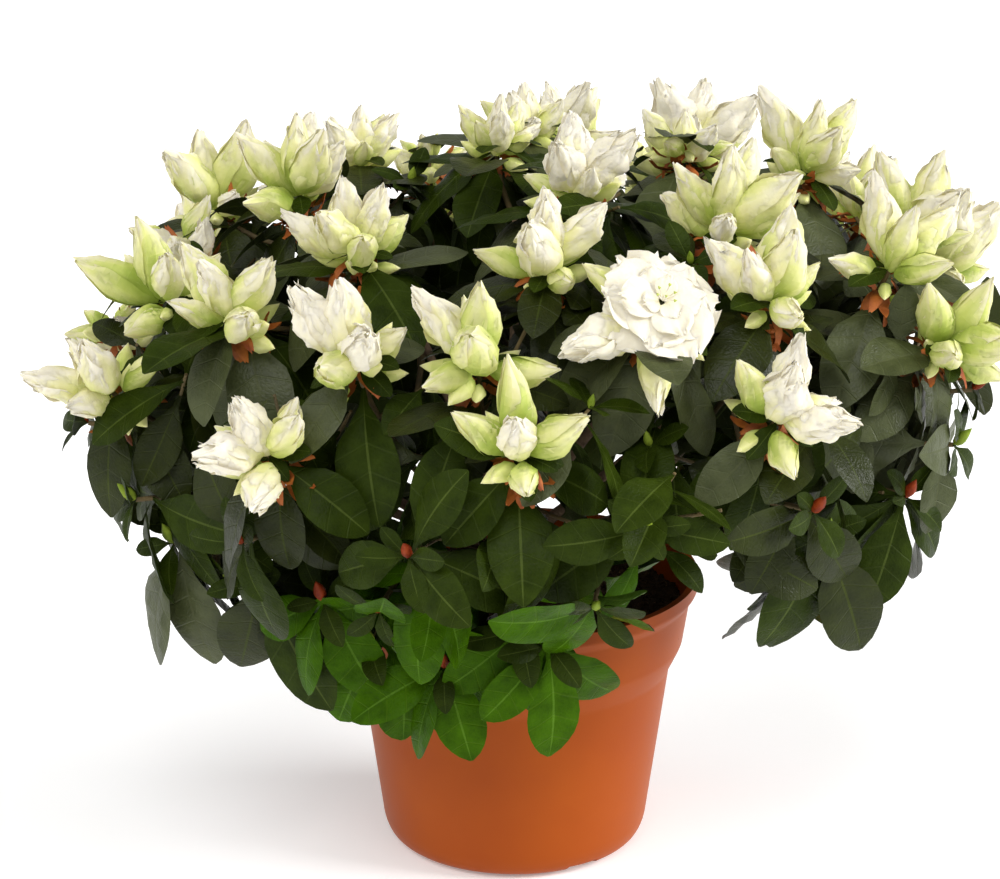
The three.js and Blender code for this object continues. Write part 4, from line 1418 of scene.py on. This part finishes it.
for shoot in leafy:
    key, axis, tip = shoot["key"], shoot["axis"], shoot["tip"]
    if "sides" not in shoot and chance(key, 113) < BARE_SIDES:
        continue
    colour = "red" if shoot["rise"] < -5 and chance(key, 107) < 0.35 else "green"
    size = (0.26 if "sides" in shoot else 0.18) + 0.08 * chance(key, 108)
    tips[colour].append((tip, placing(axis + UP, UP).to_quaternion(), size, int(9 * chance(key, 109))))
    for k in range(SMALL_PER_SHOOT):
        along = around(axis, 38 + 34 * chance(key, k, 110), 95 * k + 40 * chance(key, k, 111))
        turn = placing(along, axis).to_quaternion()
        small_leaves.append((tip, turn, 0.26 + 0.22 * chance(key, k, 112), k + 3))
print(len(small_leaves), "small leaves,", len(scales), "scales")
print("shoot tips:", {colour: len(found) for colour, found in tips.items()})

# %% [markdown]
# ## Planting tree
# One Geometry Nodes tree plants any of these lists. The list becomes a cloud of points that carry a turn, a
# size and the number of a shape. The tree picks the shape, sets it on its point, makes the copies real, and
# deals finishes out by each face's band. Until they are real, the copies take hardly any room.

# %% Planting tree
def planting_tree(name, bands):
    finish_names = [f"Finish{b}" for b in range(bands)]
    tree, given, result = new_tree(name, Collection="Shapes", Material=" ".join(finish_names))
    stored = {
        label: add_node(tree, "GeometryNodeInputNamedAttribute", {"data_type": kind}, {"Name": label})
        for label, kind in (("size", "FLOAT"), ("pick", "INT"), ("turn", "QUATERNION"), ("band", "INT"))
    }
    shapes = add_node(tree, "GeometryNodeCollectionInfo", inputs={0: given["Shapes"], 1: True, 2: True})
    planted = add_node(
        tree, "GeometryNodeInstanceOnPoints",
        inputs={
            "Points": given["Geometry"], "Instance": shapes, "Pick Instance": True,
            "Instance Index": stored["pick"], "Rotation": stored["turn"], "Scale": stored["size"],
        },
    )
    last = add_node(tree, "GeometryNodeRealizeInstances", inputs={"Geometry": planted})
    for b, finish in enumerate(finish_names):
        compare = {"data_type": "INT", "operation": "EQUAL"}
        chosen = add_node(tree, "FunctionNodeCompare", compare, {2: stored["band"], 3: b})
        last = add_node(
            tree, "GeometryNodeSetMaterial",
            inputs={"Geometry": last, "Selection": chosen, "Material": given[finish]},
        )
    tree.links.new(last.outputs[0], result[0])
    return tree


def plant(name, places, shapes, finishes, stands_for=()):
    """Plants a list of places, each a point, a turn, a size and the number of a shape, as one piece."""
    spots, turns, sizes, picks = zip(*places)
    cloud = bpy.data.meshes.new(name + "_places")
    cloud.from_pydata([tuple(at * MM) for at in spots], [], [])
    kinds = {"turn": "QUATERNION", "size": "FLOAT", "pick": "INT"}
    for (label, kind), values in zip(kinds.items(), ([tuple(turn) for turn in turns], sizes, picks)):
        layer = cloud.attributes.new(label, kind, "POINT")
        layer.data.foreach_set("value", np.array(values).ravel())
    inputs = {"Shapes": shapes} | {f"Finish{b}": finish for b, finish in enumerate(finishes)}
    show_piece(name, plain_mesh(cloud, PLANTING[len(finishes)], inputs, name), stands_for)


PLANTING = {n: planting_tree(f"plant_{n}_finishes", n) for n in (1, 2, len(PETAL_TINTS))}
print("planting trees ready")

# %% [markdown]
# ## Leaf finishes
# A living leaf is wet tissue under a waxy skin, so it is dark with a soft shine, index about 1.45. Azalea
# leaves also carry short grey hairs, which scatter a dull light over the dark green. The grey tint is paler
# than the rest, partly for those hairs and partly as a painted sheen, and it is dealt most on the lit right
# side. The standing leaves deep in the crown take the darker tints as painted shade. The blade's underside is
# paler and greyer, so the finish asks which side of the sheet is seen. Each spray keeps mostly to one tint.

# %% Plant the leaves
VEIN_PAIRS = LEAF_ROWS / 2
# The net of small veins has cells of about 1.5 mm: this many across the blade and along it.
NET_CELLS = (13, 28, 1)


def leaf_finish(name, shades, vein, underside, rough, shine):
    """A waxy leaf: mottled green above with fine sunken veins, paler and greyer below."""
    material = mottled_finish(name, shades, 7, rough, 1.1, 0.17, IOR=1.45, Specular_IOR_Level=shine)
    tree = material.node_tree
    skin = tree.nodes["Principled BSDF"]
    above, grain = (skin.inputs[key].links[0].from_socket for key in ("Base Color", "Normal"))
    blade = add_node(tree, "ShaderNodeUVMap", {"uv_map": "blade"})
    along = add_node(tree, "ShaderNodeSeparateXYZ", inputs={0: blade})
    rows = add_node(tree, "ShaderNodeMath", {"operation": "MULTIPLY"}, {0: along.outputs["Y"], 1: VEIN_PAIRS})
    to_vein = add_node(tree, "ShaderNodeMath", {"operation": "PINGPONG"}, {0: rows, 1: 0.5})
    cell_map = add_node(tree, "ShaderNodeVectorMath", {"operation": "MULTIPLY"}, {0: blade, 1: NET_CELLS})
    net = add_node(
        tree, "ShaderNodeTexVoronoi", {"feature": "DISTANCE_TO_EDGE"}, {"Vector": cell_map, "Scale": 1.0}
    )
    # Each kind of vein is deepest along its middle line and fades out a little way from it.
    side_vein, fine_vein = (
        add_node(
            tree, "ShaderNodeMapRange", {"interpolation_type": "SMOOTHSTEP"},
            {"Value": away, "From Min": near, "From Max": far, "To Min": strength, "To Max": 0.0},
        )
        for away, near, far, strength in ((to_vein, 0.01, 0.06, 1.0), (net, 0.0, 0.3, 0.25))
    )
    veins = add_node(tree, "ShaderNodeMath", {"operation": "MAXIMUM"}, {0: side_vein, 1: fine_vein})
    pale = add_node(tree, "ShaderNodeMath", {"operation": "MULTIPLY"}, {0: veins, 1: 0.24})
    rgb = {"data_type": "RGBA"}
    veined = add_node(tree, "ShaderNodeMix", rgb, {MIX_FACTOR: pale, MIX_A: above, MIX_B: linear(vein)})
    sunken = add_node(
        tree, "ShaderNodeBump", {"invert": True}, {"Height": veins, "Distance": 0.16 * MM, "Normal": grain}
    )
    below = add_node(tree, "ShaderNodeNewGeometry").outputs["Backfacing"]
    both = add_node(
        tree, "ShaderNodeMix", rgb,
        {MIX_FACTOR: below, MIX_A: veined.outputs[MIX_RESULT], MIX_B: linear(underside)},
    )
    tree.links.new(both.outputs[MIX_RESULT], skin.inputs["Base Color"])
    tree.links.new(sunken.outputs[0], skin.inputs["Normal"])
    return material


LEAF_LOOKS = {
    # tint: the blade and then its midrib, each with its shades, veins, underside, roughness and shine
    "dark": (
        ("waxy_leaf_dark", ("#1b2105", "#282f09"), "#3e461f", "#3a4420", (0.3, 0.42), 0.19),
        ("midrib_dark", ("#2f3712", "#3a4319"), "#444c22", "#5c6a3c", (0.4, 0.5), 0.12),
    ),
    "mid": (
        ("waxy_leaf_mid", ("#1c2703", "#2a3707"), "#42501c", "#404e22", (0.34, 0.46), 0.07),
        ("midrib_mid", ("#364214", "#43501c"), "#4c5a24", "#64743e", (0.4, 0.5), 0.1),
    ),
    # Partly the grey hairs' own colour and partly a painted sheen: paler than the other tints.
    "grey": (
        ("hairy_leaf_grey_painted_sheen", ("#32381b", "#454b2b"), "#5e6443", "#4b5334", (0.36, 0.48), 0.27),
        ("midrib_grey_painted_sheen", ("#3f4428", "#4a4f30"), "#535838", "#6c7452", (0.48, 0.6), 0.22),
    ),
    "young": (
        ("waxy_leaf_young", ("#264200", "#385b02"), "#52701a", "#4c6a22", (0.3, 0.42), 0.04),
        ("midrib_young", ("#3c5c10", "#4b6e18"), "#587a22", "#6c8838", (0.4, 0.5), 0.06),
    ),
}
leaf_finishes = {tint: [leaf_finish(*look) for look in looks] for tint, looks in LEAF_LOOKS.items()}
for tint, places in leaves.items():
    stands_for = FOLIAGE_NODES if tint == "dark" else ()
    plant("leaves_" + tint, places, leaf_shapes, leaf_finishes[tint], stands_for)
plant("leaves_small", small_leaves, leaf_shapes, leaf_finishes["mid"])

# %% [markdown]
# ## Petal finishes
# A petal is thin wet tissue with no gloss of its own: light enters it, spreads a millimetre or two and comes
# out again, which softens every fold. Subsurface scattering gives that, and a faint emission stands for the
# light that has come through other petals. The surface has a fine crepe, so it is rough and shines little.

# %% Plant the buds and the flower
def blend_hex(a, b):
    parts = [(int(a[i : i + 2], 16) + int(b[i : i + 2], 16)) // 2 for i in (1, 3, 5)]
    return "#" + "".join(f"{p:02x}" for p in parts)


def petal_finish(number):
    """The finish of one tint. Its colour runs from half way to the tint before it to half way to the next."""
    tint = PETAL_TINTS[number]
    before = blend_hex(tint, PETAL_TINTS[max(number - 1, 0)])
    after = blend_hex(tint, PETAL_TINTS[min(number + 1, len(PETAL_TINTS) - 1)])
    material = mottled_finish(
        f"azalea_petal_{number + 1}_of_{len(PETAL_TINTS)}", (before, after), 5, (0.5, 0.62), 1.8, 0.25,
        IOR=1.4, Specular_IOR_Level=0.25, Emission_Color=linear(tint), Emission_Strength=0.19,
        Subsurface_Weight=0.5, Subsurface_Scale=0.0025, Subsurface_Radius=(1.0, 0.95, 0.6),
    )
    tree = material.node_tree
    mix = next(n for n in tree.nodes if n.bl_idname == "ShaderNodeMix")
    patches = next(n for n in tree.nodes if n.bl_idname == "ShaderNodeTexNoise")
    tone = add_node(tree, "ShaderNodeAttribute", {"attribute_name": "tone"})
    steps = add_node(
        tree, "ShaderNodeMath", {"operation": "MULTIPLY_ADD"},
        {0: tone.outputs["Fac"], 1: len(PETAL_TINTS), 2: -number - 0.15},
    )
    cloudy = add_node(
        tree, "ShaderNodeMath", {"operation": "MULTIPLY_ADD", "use_clamp": True},
        {0: patches, 1: 0.3, 2: steps},
    )
    tree.links.new(cloudy.outputs[0], mix.inputs[MIX_FACTOR])
    return material


PETAL_FINISHES = [petal_finish(i) for i in range(len(PETAL_TINTS))]
for kind in bud_shapes:
    plant("buds_" + kind, buds[kind], bud_shapes[kind], PETAL_FINISHES)
bloom_place = (bloom_at, bloom_axes.to_quaternion(), 1.0, 0)
plant("open_flower", [bloom_place], shape_collection("flower", [flower_mesh]), PETAL_FINISHES)

# %% Plant the scales and tips
# Dry bud scale: paper-thin brown tissue, matte, rust red where it is fresh and straw where it is old.
scale_finish = mottled_finish("papery_bud_scale", ("#83390b", "#b5651f"), 6, (0.6, 0.8), 0.7, 0.15)
plant("bud_scales", scales, scale_shapes, [scale_finish])

# Winter bud scales, sticky and red-brown, or fresh yellow-green.
for colour, shades in (("red", ("#611a06", "#8f3a12")), ("green", ("#62781c", "#82942f"))):
    finish = mottled_finish(
        colour + "_winter_bud", shades, 3, (0.5, 0.6), 0.6, 0.1, Specular_IOR_Level=0.15
    )
    plant("shoot_tips_" + colour, tips[colour], bud_shapes["small"], [finish] * len(PETAL_TINTS))

# %% Sizes and finish
for collection in list(bpy.data.collections):
    if collection.name not in {c.name for c in scene.collection.children_recursive}:
        for o in list(collection.objects):
            bpy.data.objects.remove(o)
        bpy.data.collections.remove(collection)

made_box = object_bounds()
growth = [round((made_box[1][k] - made_box[0][k]) / (cad_box[1][k] - cad_box[0][k]), 3) for k in range(3)]
print("made box over plant box, by side:", growth)
